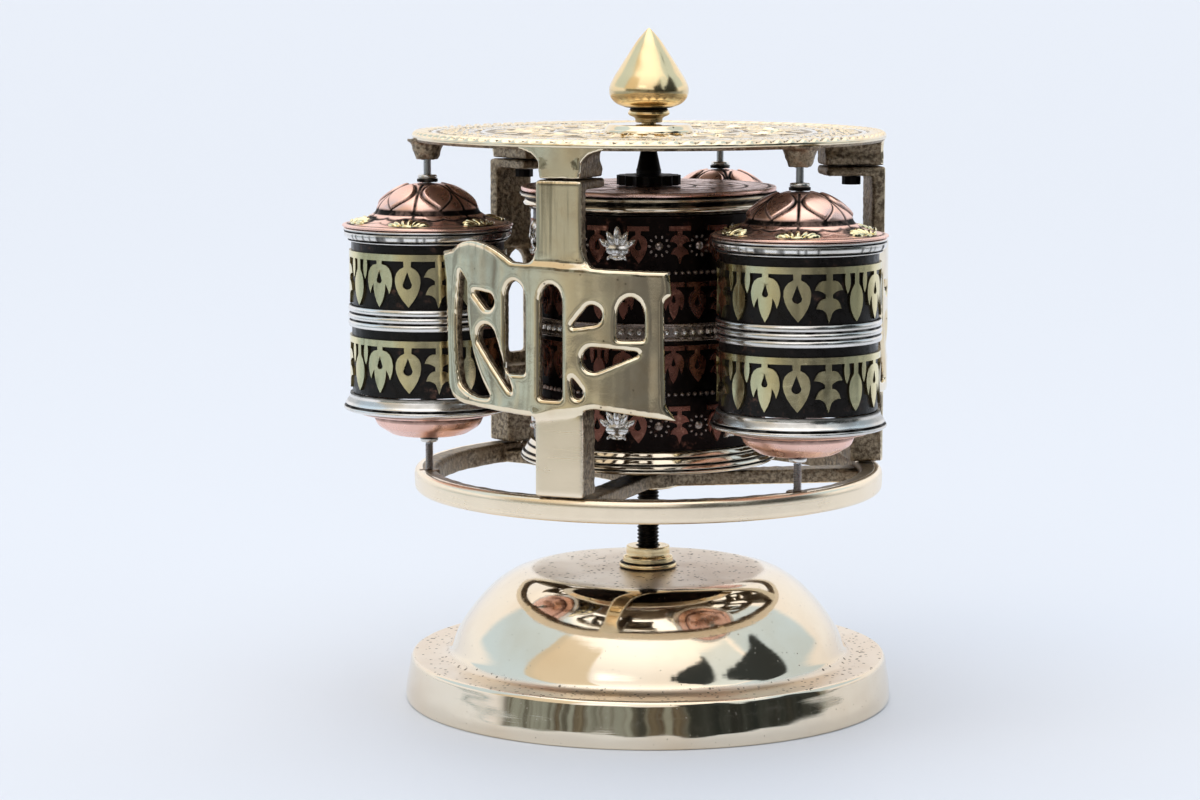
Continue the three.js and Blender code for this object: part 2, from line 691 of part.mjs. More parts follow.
const uprightStations = { front: uprightAngle, right: uprightAngle + 120, left: uprightAngle + 240 };
for (const [side, angle] of Object.entries(uprightStations)) {
  const place = station(angle);
  add(`upright_${side}`, upright(), polishedBrass, place);
  add(`foot_screw_${side}`, screw(ringBottom + gap, uprightBottom + screwDepth - ringBottom - gap - screwHeadHeight)
    .translate(0, -footScrewCircle, 0), steel, place);
  add(`top_screw_${side}`, screw(flangeTop - flangeThickness - gap - screwHeadHeight, flangeThickness + 2 * gap + topScrewDepth - gap)
    .translate(0, -topScrewCircle, 0), blackSteel, place);
}

export default object;
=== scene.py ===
# Looks of a table prayer wheel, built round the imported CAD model.
# Sizes in the dictionaries are millimetres, but metres for the camera, floor and lights.
import json
import math

import bmesh
import bpy
import numpy as np
from mathutils import Matrix, Vector, noise
from mathutils.geometry import tessellate_polygon

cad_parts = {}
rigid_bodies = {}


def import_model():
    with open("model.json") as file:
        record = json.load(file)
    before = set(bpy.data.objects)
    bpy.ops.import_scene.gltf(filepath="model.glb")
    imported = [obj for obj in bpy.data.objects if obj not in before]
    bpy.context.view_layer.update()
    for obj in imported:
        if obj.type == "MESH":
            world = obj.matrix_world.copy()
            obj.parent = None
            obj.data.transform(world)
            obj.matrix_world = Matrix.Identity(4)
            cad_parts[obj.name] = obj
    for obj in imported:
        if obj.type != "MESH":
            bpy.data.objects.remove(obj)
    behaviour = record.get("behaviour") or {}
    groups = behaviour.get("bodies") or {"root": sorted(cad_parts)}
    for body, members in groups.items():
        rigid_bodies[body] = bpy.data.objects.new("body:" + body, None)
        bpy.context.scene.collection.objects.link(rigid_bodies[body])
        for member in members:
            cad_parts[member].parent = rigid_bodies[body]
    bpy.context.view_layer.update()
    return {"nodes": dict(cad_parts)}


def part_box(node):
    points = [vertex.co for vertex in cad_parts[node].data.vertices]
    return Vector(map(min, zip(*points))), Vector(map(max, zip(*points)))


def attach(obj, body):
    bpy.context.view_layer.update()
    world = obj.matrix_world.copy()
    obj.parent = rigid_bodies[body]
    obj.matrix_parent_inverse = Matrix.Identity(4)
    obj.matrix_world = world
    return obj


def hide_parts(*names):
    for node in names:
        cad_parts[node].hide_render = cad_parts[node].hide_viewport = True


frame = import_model()
print("frame loaded:", len(frame["nodes"]), "nodes")

mm = 0.001


# camera, floor and lights, in metres and degrees
cameraSet = {"place": (0, -0.8411, 0.1908), "pitchDown": 7.44, "headingLeft": 0.89, "lens": 94.0}
floorSet = {"size": 160.0, "nearEdge": 0.6, "colour": (0.735, 0.77, 0.845), "roughness": 0.55}
lightSet = {
    "sky": 1.15,
    "backdrop": (0.81, 0.845, 0.92),
    "key": {"place": (-0.9, -0.6, 1.5), "size": 0.9, "power": 2.2, "colour": (1, 0.98, 0.95)},
    "fill": {"place": (1.1, -0.7, 0.9), "size": 0.8, "power": 1, "colour": (0.95, 0.97, 1)},
}

# what the metal mirrors: turns from the front and rises in degrees, each with how soft its edges are
roomSet = {
    "sky": [(0.0, (0.74, 0.77, 0.84)), (0.2, (0.88, 0.90, 0.94)), (0.6, (0.93, 0.91, 0.90)),
            (0.86, (1.25, 1.24, 1.22)), (1.0, (1.6, 1.6, 1.6))],
    "patches": {
        "panes": {"turn": (74, 128, 3.0), "rise": (16, 60, 3.0), "strength": 0.8,
                  "colour": (0.50, 0.68, 0.84)},
        "wall": {"turn": (-80, -38, 1.5), "rise": (12, 56, 3.0), "strength": 0.8,
                 "colour": (0.66, 0.55, 0.38)},
        "wedge": {"turn": (42, 70, 2.0), "rise": (12, 54, 3.0), "strength": 0.75,
                  "colour": (0.66, 0.80, 0.90)},
        "spot": {"turn": (-32, -9, 5.0), "rise": (30, 36, 2.5), "strength": 0.9, "colour": (2.2, 2.2, 2.2)},
    },
    # each peak starts and ends at a turn, and its top climbs from a first rise by so much a degree
    "peaks": [(15, 43.5, 36, 0.45), (48, 92, 31, 0.36)],
    "peakColour": (0.035, 0.042, 0.045),
    "skyline": [(0.28, (0.025, 0.03, 0.03)), (0.42, (0.10, 0.10, 0.085)), (0.50, (0.26, 0.29, 0.27)),
                (0.58, (0.075, 0.06, 0.045)), (0.75, (0.22, 0.21, 0.16))],
    "skylineTurn": (-72, 94, 4.0),
    "skylineTop": 14.0,
    "darkest": (18, 88, 2.0),
}
# the ground in front as the brass mirrors it: its shades follow the turn, from the first to the last
groundSet = {
    "turn": (-120.0, 120.0),
    "shades": [(0.0, (0.42, 0.54, 0.60)), (0.22, (0.38, 0.50, 0.58)), (0.29, (0.46, 0.55, 0.58)),
               (0.34, (0.46, 0.44, 0.35)), (0.40, (0.27, 0.27, 0.22)), (0.46, (0.10, 0.10, 0.095)),
               (0.54, (0.06, 0.06, 0.06)), (0.72, (0.04, 0.045, 0.05)), (0.85, (0.3, 0.36, 0.39)),
               (1.0, (0.5, 0.54, 0.58))],
    "brightStreak": (0.62, 0.60, 0.52), "darkStreak": (0.07, 0.07, 0.065), "mottle": (0.045, 0.045, 0.045),
    "raggedEdge": 0.22,
}


def makeCamera():
    data = bpy.data.cameras.new("camera")
    data.lens = cameraSet["lens"]
    data.sensor_width = 36
    camera = bpy.data.objects.new("camera", data)
    camera.location = cameraSet["place"]
    camera.rotation_euler = (
        math.radians(90 - cameraSet["pitchDown"]), 0, math.radians(cameraSet["headingLeft"]))
    bpy.context.scene.collection.objects.link(camera)
    bpy.context.scene.camera = camera


def makeLight(name, values):
    data = bpy.data.lights.new(name, "AREA")
    data.shape = "DISK"
    data.size = values["size"]
    data.energy = values["power"]
    data.color = values["colour"]
    light = bpy.data.objects.new(name, data)
    light.location = values["place"]
    aim = Vector((0, 0, 0.09)) - light.location
    light.rotation_euler = aim.to_track_quat("-Z", "Y").to_euler()
    light.visible_glossy = False
    bpy.context.scene.collection.objects.link(light)


class Nodes:
    # a short way to add and link shader or geometry nodes
    def __init__(self, tree):
        self.tree = tree

    def add(self, kind, inputs=None, **settings):
        node = self.tree.nodes.new(kind)
        for name, value in settings.items():
            setattr(node, name, value)
        for name, value in (inputs or {}).items():
            self.put(node.inputs[name], value)
        return node

    def put(self, socket, value):
        if isinstance(value, bpy.types.NodeSocket):
            self.tree.links.new(value, socket)
        else:
            socket.default_value = value

    def math(self, operation, a, b=0.0, clamp=False):
        node = self.add("ShaderNodeMath", {0: a, 1: b}, operation=operation)
        node.use_clamp = clamp
        return node.outputs[0]

    def plus(self, a, b):
        return self.math("ADD", a, b)

    def minus(self, a, b):
        return self.math("SUBTRACT", a, b)

    def times(self, a, b, clamp=False):
        return self.math("MULTIPLY", a, b, clamp)

    def ownPlace(self):
        return self.add("ShaderNodeTexCoord").outputs["Object"]

    def mark(self, name):
        return self.add("ShaderNodeAttribute", attribute_name=name).outputs["Fac"]

    def noise(self, vector, scale, detail, roughness=0.5):
        values = {"Vector": vector, "Scale": scale, "Detail": detail, "Roughness": roughness}
        return self.add("ShaderNodeTexNoise", values).outputs[0]

    def streaks(self, value, detail):
        # noise along one number only
        values = {"W": value, "Scale": 1.0, "Detail": detail}
        return self.add("ShaderNodeTexNoise", values, noise_dimensions="1D").outputs[0]

    def hairlines(self, vector, scale, rotation):
        stretched = self.add("ShaderNodeMapping", {"Vector": vector, "Scale": scale, "Rotation": rotation})
        return self.noise(stretched.outputs[0], 1.0, 4.0, 0.7)

    def cells(self, vector, scale):
        return self.add("ShaderNodeTexVoronoi", {"Vector": vector, "Scale": scale}).outputs["Distance"]

    def ramp(self, factor, stops):
        node = self.add("ShaderNodeValToRGB", {"Fac": factor})
        elements = node.color_ramp.elements
        while len(elements) < len(stops):
            elements.new(0.5)
        for element, (place, colour) in zip(elements, stops):
            element.position = place
            element.color = (colour,) * 3 + (1,) if isinstance(colour, (int, float)) else (*colour, 1)
        return node.outputs["Color"]

    def mix(self, factor, a, b, blend="MIX"):
        node = self.add("ShaderNodeMix", data_type="RGBA", blend_type=blend)
        for socket, value in ((node.inputs[0], factor), (node.inputs[6], a), (node.inputs[7], b)):
            self.put(socket, (*value, 1) if isinstance(value, tuple) and len(value) == 3 else value)
        return node.outputs[2]

    def range(self, value, low, high, toLow=0.0, toHigh=1.0, smooth=True):
        node = self.add("ShaderNodeMapRange", {"Value": value, "From Min": low, "From Max": high,
                                               "To Min": toLow, "To Max": toHigh})
        node.interpolation_type = "SMOOTHSTEP" if smooth else "LINEAR"
        return node.outputs[0]


def makeWorld():
    # a pale overcast room: bluish panes to both sides, a dark ragged skyline and a cream wall before the
    # object; the camera itself sees only the backdrop colour
    world = bpy.data.worlds.new("studio")
    bpy.context.scene.world = world
    world.use_nodes = True
    tree = world.node_tree
    tree.nodes.clear()
    n = Nodes(tree)
    direction = n.add("ShaderNodeTexCoord").outputs["Generated"]
    x, y, z = n.add("ShaderNodeSeparateXYZ", {0: direction}).outputs
    ragged = n.noise(direction, 9.0, 6.0, 0.7)
    ragged = n.times(n.minus(ragged, 0.5), 22.0)
    turn = n.math("DEGREES", n.math("ARCTAN2", x, n.times(y, -1.0)))
    rise = n.math("DEGREES", n.math("ARCSINE", z))

    def between(value, low, high, soft=3.0):
        return n.times(n.range(value, low - soft, low + soft), n.range(value, high + soft, high - soft))

    colour = n.ramp(z, roomSet["sky"])
    away = n.math("ABSOLUTE", turn)
    for name, patch in roomSet["patches"].items():
        across = away if name == "panes" else turn
        up = n.plus(rise, n.times(ragged, 0.3)) if name == "wall" else rise
        share = n.times(between(across, *patch["turn"]), between(up, *patch["rise"]))
        colour = n.mix(n.times(share, patch["strength"]), colour, patch["colour"])
    for start, end, foot, slope in roomSet["peaks"]:
        top = n.plus(n.times(n.minus(turn, float(start)), slope), float(foot))
        peak = n.minus(top, n.plus(rise, n.times(ragged, 0.65)))
        peak = n.times(n.range(peak, -0.7, 0.7), between(turn, start, end, 1.2))
        colour = n.mix(n.times(peak, n.range(rise, 5, 12)), colour, roomSet["peakColour"])
    stripes = n.streaks(n.times(turn, 0.11), 2.0)
    low = n.ramp(stripes, roomSet["skyline"])
    low = n.mix(n.times(between(turn, *roomSet["darkest"]), 0.9), low, (0.016, 0.02, 0.02))
    skyline = n.range(n.plus(rise, n.times(ragged, 0.22)), roomSet["skylineTop"] + 1.5,
                      roomSet["skylineTop"])
    colour = n.mix(n.times(skyline, between(turn, *roomSet["skylineTurn"])), colour, low)
    seen = n.add("ShaderNodeLightPath").outputs["Is Camera Ray"]
    colour = n.mix(seen, colour, lightSet["backdrop"])
    glow = n.add("ShaderNodeBackground", {"Color": colour, "Strength": lightSet["sky"]})
    out = n.add("ShaderNodeOutputWorld")
    tree.links.new(glow.outputs[0], out.inputs[0])


def makeFloor():
    bpy.ops.mesh.primitive_plane_add(size=floorSet["size"])
    floor = bpy.context.object
    floor.name = "floor"
    material = bpy.data.materials.new("floorPaper")
    material.use_nodes = True
    shader = material.node_tree.nodes["Principled BSDF"]
    n = Nodes(material.node_tree)
    # mirrored in the brass, the ground in front turns dark and streaky past the sheet's near edge
    place = n.ownPlace()
    x, y = n.add("ShaderNodeSeparateXYZ", {0: place}).outputs[:2]
    turn = n.math("DEGREES", n.math("ARCTAN2", x, n.times(y, -1.0)))
    reach = n.add("ShaderNodeVectorMath", {0: place}, operation="LENGTH").outputs["Value"]
    wobble = n.noise(place, 16.0, 5.0, 0.7)
    near = floorSet["nearEdge"]
    beyond = n.range(n.plus(reach, n.times(wobble, groundSet["raggedEdge"])), near, near + 0.02)
    beyond = n.times(beyond, n.range(n.math("ABSOLUTE", turn), 128, 108))
    streak = n.streaks(n.times(turn, 0.15), 4.0)
    cell = n.add("ShaderNodeCombineXYZ", {"X": n.times(turn, 0.07), "Y": n.times(reach, 7.0)}).outputs[0]
    mottle = n.add("ShaderNodeTexNoise",
                   {"Vector": cell, "Scale": 1.0, "Detail": 5.0, "Distortion": 0.8}).outputs[0]
    first, last = groundSet["turn"]
    dark = n.ramp(n.math("DIVIDE", n.plus(turn, -first), last - first), groundSet["shades"])
    dark = n.mix(n.range(streak, 0.5, 0.6, 0.0, 0.32), dark, groundSet["brightStreak"])
    dark = n.mix(n.range(streak, 0.44, 0.36, 0.0, 0.6), dark, groundSet["darkStreak"])
    dark = n.mix(n.range(mottle, 0.47, 0.6, 0.0, 0.8), dark, groundSet["mottle"])
    mirrored = n.times(beyond, n.add("ShaderNodeLightPath").outputs["Is Glossy Ray"])
    n.put(shader.inputs["Base Color"], n.mix(mirrored, floorSet["colour"], dark))
    shader.inputs["Roughness"].default_value = floorSet["roughness"]
    shader.inputs["Specular IOR Level"].default_value = 0.2
    floor.data.materials.append(material)


makeCamera()
makeWorld()
makeLight("keyLight", lightSet["key"])
makeLight("fillLight", lightSet["fill"])
makeFloor()
bpy.context.scene.view_settings.view_transform = "Standard"
print("camera, light and floor ready")


# finishes: colour, its warmer shade, and how rough it runs
finishSet = {
    "polishedBrass": {"colour": (0.87, 0.765, 0.61), "warm": (0.80, 0.655, 0.48), "rough": (0.04, 0.13)},
    "brassCasting": {"colour": (0.90, 0.775, 0.565), "warm": (0.80, 0.64, 0.43)},
    "castBrass": {"colour": (0.56, 0.45, 0.315), "dark": (0.12, 0.087, 0.058), "rough": (0.30, 0.55)},
    "goldBrass": {"colour": (0.88, 0.69, 0.40), "warm": (0.76, 0.52, 0.25), "rough": (0.13, 0.26)},
    "copper": {"colour": (0.95, 0.62, 0.52), "warm": (0.77, 0.42, 0.32), "rough": (0.22, 0.38)},
    "whiteMetal": {"colour": (0.87, 0.84, 0.80), "warm": (0.52, 0.49, 0.44), "rough": (0.14, 0.3)},
    "steel": {"colour": (0.46, 0.46, 0.46), "warm": (0.30, 0.29, 0.28), "rough": (0.22, 0.4)},
    "soot": (0.012, 0.010, 0.009),
}


def newMaterial(name):
    material = bpy.data.materials.new(name)
    material.use_nodes = True
    n = Nodes(material.node_tree)
    return material, n


def finished(material, n, colour, roughness, metallic, height, strength, distance):
    shader = material.node_tree.nodes["Principled BSDF"]
    n.put(shader.inputs["Base Color"], colour)
    n.put(shader.inputs["Roughness"], roughness)
    n.put(shader.inputs["Metallic"], metallic)
    bump = n.add("ShaderNodeBump", {"Height": height, "Strength": strength, "Distance": distance})
    n.put(shader.inputs["Normal"], bump.outputs[0])
    return material


def metalFinish(name, values, scratch=0.12, dirt=None):
    # polished metal: slow colour drift, cloudy gloss, hairline scratches, soot where the dirt mark says
    material, n = newMaterial(name)
    place = n.ownPlace()
    drift = n.noise(place, 38.0, 4.0)
    colour = n.mix(n.range(drift, 0.42, 0.78), values["colour"], values["warm"])
    cloud = n.noise(place, 260.0, 5.0, 0.65)
    low, high = values["rough"]
    gloss = n.range(cloud, 0.3, 0.75, low, high)
    hair = n.hairlines(place, (60, 60, 1500), (0.5, 0.35, 0))
    gloss = n.plus(gloss, n.range(hair, 0.55, 0.8, 0.0, scratch))
    if dirt:
        soot = n.mark(dirt)
        patch = n.times(n.range(cloud, 0.25, 0.7, 0.75, 1.15), soot, clamp=True)
        colour = n.mix(patch, colour, finishSet["soot"])
        gloss = n.plus(gloss, n.times(patch, 0.35))
    return finished(material, n, colour, gloss, 1.0, hair, 0.05, 0.0002)


def baseFinish(name):
    # mirror-polished brass that turns satin, grey and speckled with dust on its level parts
    material, n = newMaterial(name)
    bright = finishSet["polishedBrass"]
    place = n.ownPlace()
    level = n.mark("satin")
    drift = n.noise(place, 30.0, 4.0)
    cloud = n.noise(place, 240.0, 5.0, 0.7)
    colour = n.mix(n.range(drift, 0.4, 0.75), bright["colour"], bright["warm"])
    dusty = n.times(level, n.range(drift, 0.25, 0.6, 0.7, 1.0))
    colour = n.mix(n.times(dusty, 0.75), colour, (0.80, 0.69, 0.58))
    spot = n.cells(place, 600.0)
    amount = n.plus(n.range(level, 0.2, 0.9, 0.0, 0.17), n.range(drift, 0.55, 0.7, 0.0, 0.05))
    mask = n.times(n.range(n.minus(spot, amount), 0.10, 0.04), n.range(cloud, 0.42, 0.56))
    colour = n.mix(n.times(mask, 0.85), colour, (0.09, 0.07, 0.05))
    hair = n.hairlines(place, (50, 50, 1400), (0.2, 0.3, 0))
    gloss = n.plus(n.range(cloud, 0.3, 0.75, 0.035, 0.10), n.range(hair, 0.55, 0.8, 0.0, 0.08))
    gloss = n.plus(gloss, n.times(dusty, 0.34))
    gloss = n.plus(gloss, n.times(mask, 0.3))
    return finished(material, n, colour, gloss, 1.0, n.minus(n.times(hair, 0.3), mask), 0.12, 0.0002)


def castFinish(name):
    # cast brass: bright and smooth where it was polished, brown and grainy where it was left as cast
    material, n = newMaterial(name)
    cast, bright = finishSet["castBrass"], finishSet["brassCasting"]
    place = n.ownPlace()
    polish = n.mark("polish")
    grit = n.noise(place, 900.0, 4.0, 0.7)
    patch = n.noise(place, 110.0, 5.0, 0.6)
    edge = n.plus(polish, n.times(n.minus(patch, 0.5), 0.5))
    shine = n.times(n.range(edge, 0.42, 0.6), n.range(polish, 0.05, 0.2))
    rough = n.mix(n.range(grit, 0.36, 0.7), cast["dark"], cast["colour"])
    rough = n.mix(n.range(patch, 0.45, 0.7, 0.0, 0.6), rough, (0.31, 0.225, 0.14))
    smooth = n.mix(n.range(patch, 0.4, 0.75), bright["colour"], bright["warm"])
    pit = n.cells(place, 420.0)
    pits = n.times(n.range(pit, 0.15, 0.09), n.range(patch, 0.52, 0.6))
    smooth = n.mix(n.times(pits, 0.8), smooth, (0.10, 0.07, 0.045))
    brushed = n.mark("brushed")
    upright = n.add("ShaderNodeMapping", {"Vector": place, "Scale": (620, 620, 16)}).outputs[0]
    lines = n.noise(upright, 1.0, 3.0, 0.6)
    streaks = n.times(brushed, n.range(lines, 0.47, 0.66))
    smooth = n.mix(n.times(streaks, 0.62), smooth, (0.24, 0.21, 0.15))
    satin = n.mark("satin")
    smooth = n.mix(n.times(satin, 0.85), smooth, (1.0, 0.845, 0.64))
    colour = n.mix(shine, rough, smooth)
    hair = n.hairlines(place, (40, 40, 1300), (0.3, 0.5, 0))
    glossy = n.plus(n.range(patch, 0.3, 0.8, 0.03, 0.085), n.range(hair, 0.55, 0.8, 0.0, 0.09))
    glossy = n.plus(glossy, n.plus(n.times(brushed, 0.09), n.times(satin, 0.2)))
    matte = n.range(grit, 0.3, 0.7, cast["rough"][0], cast["rough"][1])
    gloss = n.plus(n.times(glossy, shine), n.times(matte, n.minus(1.0, shine)))
    lumps = n.times(n.plus(grit, n.times(patch, 1.5)), n.minus(1.02, shine))
    return finished(material, n, colour, gloss, 1.0, lumps, 0.55, 0.0006)


def darkFinish(name, colour, highlight, roughness, metallic=1.0):
    # blackened metal with a little of the bare colour rubbed through
    material, n = newMaterial(name)
    place = n.ownPlace()
    grit = n.noise(place, 420.0, 5.0, 0.7)
    rub = n.noise(place, 90.0, 3.0)
    worn = n.times(n.range(grit, 0.52, 0.75), n.range(rub, 0.45, 0.7))
    colour = n.mix(worn, colour, highlight)
    gloss = n.range(grit, 0.3, 0.7, roughness - 0.1, roughness + 0.12)
    return finished(material, n, colour, gloss, metallic, grit, 0.25, 0.0003)


def softFinish(name, colour, shade, scale, roughness):
    material, n = newMaterial(name)
    place = n.ownPlace()
    fibre = n.noise(place, scale, 6.0, 0.75)
    colour = n.mix(n.range(fibre, 0.35, 0.7), colour, shade)
    return finished(material, n, colour, roughness, 0.0, fibre, 0.5, 0.0004)


finishes = {
    "polished_brass": castFinish("polishedBrass"),
    "base_brass": baseFinish("baseBrass"),
    "rim_brass": metalFinish("rimBrass", finishSet["polishedBrass"], dirt="soot"),
    "gold_brass": metalFinish("goldBrass", finishSet["goldBrass"], dirt="soot"),
    "copper": metalFinish("copper", finishSet["copper"], dirt="soot", scratch=0.05),
    "white_metal": metalFinish("whiteMetal", finishSet["whiteMetal"], dirt="soot"),
    "relief_brass": metalFinish("reliefBrass",
                                {"colour": (0.90, 0.80, 0.50), "warm": (0.74, 0.63, 0.35),
                                 "rough": (0.10, 0.24)}),
    "relief_side": metalFinish("reliefSide",
                               {"colour": (0.34, 0.27, 0.13), "warm": (0.10, 0.08, 0.05),
                                "rough": (0.25, 0.4)}),
    "relief_copper": metalFinish("reliefCopper",
                                 {"colour": (1.0, 0.56, 0.42), "warm": (0.60, 0.22, 0.15),
                                  "rough": (0.3, 0.45)}),
    "relief_dark": darkFinish("reliefDark", (0.21, 0.085, 0.062), (0.90, 0.45, 0.32), 0.3),
    "worn_copper": darkFinish("wornCopper", (0.30, 0.24, 0.21), (0.75, 0.66, 0.58), 0.26),
    "drum_relief": darkFinish("blackEnamel", (0.010, 0.008, 0.007), (0.16, 0.08, 0.055), 0.32, 0.6),
    "blackened_copper": darkFinish("blackenedCopper", (0.014, 0.010, 0.009), (0.20, 0.085, 0.06), 0.36),
    "black_steel": darkFinish("blackSteel", (0.018, 0.016, 0.015), (0.09, 0.075, 0.06), 0.42),
    "steel": metalFinish("steel", finishSet["steel"], dirt="soot"),
    "paper": softFinish("paper", (0.78, 0.70, 0.52), (0.62, 0.53, 0.36), 700, 0.9),
    "felt": softFinish("felt", (0.03, 0.026, 0.025), (0.07, 0.06, 0.055), 1500, 1.0),
}
print("finishes ready:", len(finishes))


# shape tools
def boxOf(node):
    low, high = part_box(node)
    return Vector(low) / mm, Vector(high) / mm


def span(node):
    low, high = boxOf(node)
    return low.z, high.z


def middle(node):
    low, high = boxOf(node)
    return ((low.x + high.x) / 2, (low.y + high.y) / 2)


def curveThrough(begin, control, end, steps):
    shares = [step / steps for step in range(1, steps + 1)]
    return [begin * (1 - t) ** 2 + control * 2 * t * (1 - t) + end * t ** 2 for t in shares]


def softened(profile, closed, steps=4):
    # a point may carry a third number: how far back from the corner its rounding starts
    corners = [Vector(point[:2]) for point in profile]
    result = []
    for i, corner in enumerate(corners):
        rounding = profile[i][2] if len(profile[i]) > 2 else 0
        if not rounding or (not closed and i in (0, len(corners) - 1)):
            result.append(corner)
            continue
        before = corners[i - 1] - corner
        after = corners[(i + 1) % len(corners)] - corner
        reach = min(rounding, before.length * 0.49, after.length * 0.49)
        start = corner + before.normalized() * reach
        result.append(start)
        result += curveThrough(start, corner, corner + after.normalized() * reach, steps)
    return result


def divided(points, closed, longest):
    ends = points[1:] + points[:1] if closed else points[1:]
    result = []
    for start, end in zip(points, ends):
        parts = max(1, math.ceil((end - start).length / longest))
        result += [start.lerp(end, k / parts) for k in range(parts)]
    return result if closed else result + [points[-1]]


def meshFrom(name, points, faces, marks=None, sharp=40):
    # points in millimetres; doubles are merged, so a pole closes
    mesh = bpy.data.meshes.new(name)
    mesh.from_pydata((np.asarray(points) * mm).tolist(), [], faces)
    for mark, values in (marks or {}).items():
        layer = mesh.attributes.new(mark, "FLOAT", "POINT")
        layer.data.foreach_set("value", np.asarray(values, dtype=np.float32).ravel())
    shape = bmesh.new()
    shape.from_mesh(mesh)
    bmesh.ops.remove_doubles(shape, verts=shape.verts, dist=1e-7)
    bmesh.ops.recalc_face_normals(shape, faces=shape.faces)
    shape.to_mesh(mesh)
    shape.free()
    mesh.shade_smooth()
    mesh.set_sharp_from_angle(angle=math.radians(sharp))
    return mesh


def gridFaces(rows, around, closed):
    faces = []
    for i in range(rows if closed else rows - 1):
        a, b = i * around, (i + 1) % rows * around
        faces += [(a + j, a + (j + 1) % around, b + (j + 1) % around, b + j) for j in range(around)]
    return faces


def lathe(name, profile, closed=False, around=160, centre=(0, 0), longest=None, surface=None, sharp=40):
    # turns a profile that runs outwards, up and back in; surface gives a push along the normal and marks
    points = softened(profile, closed)
    if longest:
        points = divided(points, closed, longest)
    line = np.array([tuple(point) for point in points])
    along = np.roll(line, -1, 0) - np.roll(line, 1, 0) if closed else np.gradient(line, axis=0)
    along /= np.linalg.norm(along, axis=1, keepdims=True) + 1e-12
    turn = np.arange(around) * 2 * math.pi / around
    radius, angle = np.meshgrid(line[:, 0], turn, indexing="ij")
    height = np.repeat(line[:, 1:], around, axis=1)
    marks = {}
    if surface:
        push, marks = surface(angle, radius, height)
        push = np.where(radius < 1e-6, 0, push)
        radius = radius + push * along[:, 1:]
        height = height - push * along[:, :1]
    x = centre[0] + radius * np.sin(angle)
    y = centre[1] - radius * np.cos(angle)
    spots = np.stack([x, y, height], axis=-1).reshape(-1, 3)
    return meshFrom(name, spots, gridFaces(len(line), around, closed), marks, sharp)


def addPiece(name, mesh, finish, body, nodes=()):
    piece = bpy.data.objects.new(name, mesh)
    bpy.context.scene.collection.objects.link(piece)
    if finish:
        mesh.materials.clear()
        mesh.materials.append(finishes[finish])
    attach(piece, body)
    if nodes:
        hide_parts(*nodes)
    return piece


def turned(name, profile, finish, body, slot, nodes=(), **shape):
    # lathes a piece and rides it on its body; most profiles are closed loops
    mesh = lathe(name, profile, **{"closed": True, "sharp": 50, **shape})
    return addPiece(name, mesh, finish, body, nodes)


def sooty(soot, push=None):
    # a surface with soot by radius and height, and pushed by angle and height where it is uneven
    def surface(angle, radius, height):
        return push(angle, height) if push else 0 * radius, {"soot": soot(radius, height)}

    return surface


def uneven(amount, many, slope, few, wall):
    # the slight unevenness of a beaten drum, on its outer wall only
    def surface(angle, radius, height):
        waves = np.sin(many * angle + slope * height) * np.sin(few * angle - height)
        return amount * waves * (radius > wall - 0.5), {}

    return surface


def joined(name, meshes):
    shape = bmesh.new()
    for mesh in meshes:
        shape.from_mesh(mesh)
    result = meshes[0].copy()
    result.name = name
    shape.to_mesh(result)
    shape.free()
    return result


def smoothStep(low, high, value):
    share = np.clip((value - low) / (high - low), 0, 1)
    return share * share * (3 - 2 * share)


def lineMark(distance, halfWidth, soft=0.2):
    # 1 on a line, 0 away from it
    return 1 - smoothStep(halfWidth, halfWidth + soft, np.abs(distance))


def lump(points, size, seed=0.0):
    # smooth noise from -1 to 1 at each point, for cast and hand-worked surfaces
    shift = Vector((seed, seed * 2, -seed))
    return np.array([noise.noise(Vector(point) / size + shift) for point in points])


def outline(start, *moves, steps=7):
    # drawn flat as (across, up); a move of four numbers is a curve by its control point and end
    points = [Vector(start)]
    for move in moves:
        if len(move) == 2:
            points.append(Vector(move))
        else:
            points += curveThrough(points[-1], Vector(move[:2]), Vector(move[2:]), steps)
    return points


def dropLoop(x, z, radius, tipX, tipZ, steps=12):
    away = math.atan2(z - tipZ, x - tipX)
    turns = [away - math.pi / 2 + math.pi * k / steps for k in range(steps + 1)]
    arc = [Vector((x + radius * math.cos(t), z + radius * math.sin(t))) for t in turns]
    return [Vector((tipX, tipZ))] + arc


def prism(loops, front, back):
    # a slab of an outline with holes, between two depths; more negative is nearer the viewer
    flat = [[point.to_3d() for point in loop] for loop in loops]
    caps = tessellate_polygon(flat)
    ring = [point for loop in loops for point in loop]
    count = len(ring)
    points = [(p.x, front, p.y) for p in ring] + [(p.x, back, p.y) for p in ring]
    faces = [tuple(cap) for cap in caps] + [tuple(k + count for k in reversed(cap)) for cap in caps]
    first = 0
    for loop in loops:
        size = len(loop)
        faces += [(first + k, first + (k + 1) % size, first + (k + 1) % size + count, first + k + count)
                  for k in range(size)]
        first += size
    return points, faces


def block(left, right, front, back, low, high):
    corners = [Vector(p) for p in ((left, low), (right, low), (right, high), (left, high))]
    return prism([corners], front, back)


def bar(x, y, low, lowRadius, high, highRadius, sides=40):
    turns = [2 * math.pi * k / sides for k in range(sides)]
    points = [(x + r * math.cos(t), y + r * math.sin(t), z)
              for r, z in ((lowRadius, low), (highRadius, high)) for t in turns]
    faces = [tuple(reversed(range(sides))), tuple(range(sides, 2 * sides))]
    faces += [(k, (k + 1) % sides, (k + 1) % sides + sides, k + sides) for k in range(sides)]
    return points, faces


def turnedSolid(points, faces, degrees):
    turn = Matrix.Rotation(math.radians(degrees), 3, "Z")
    return [tuple(turn @ Vector(point)) for point in points], faces


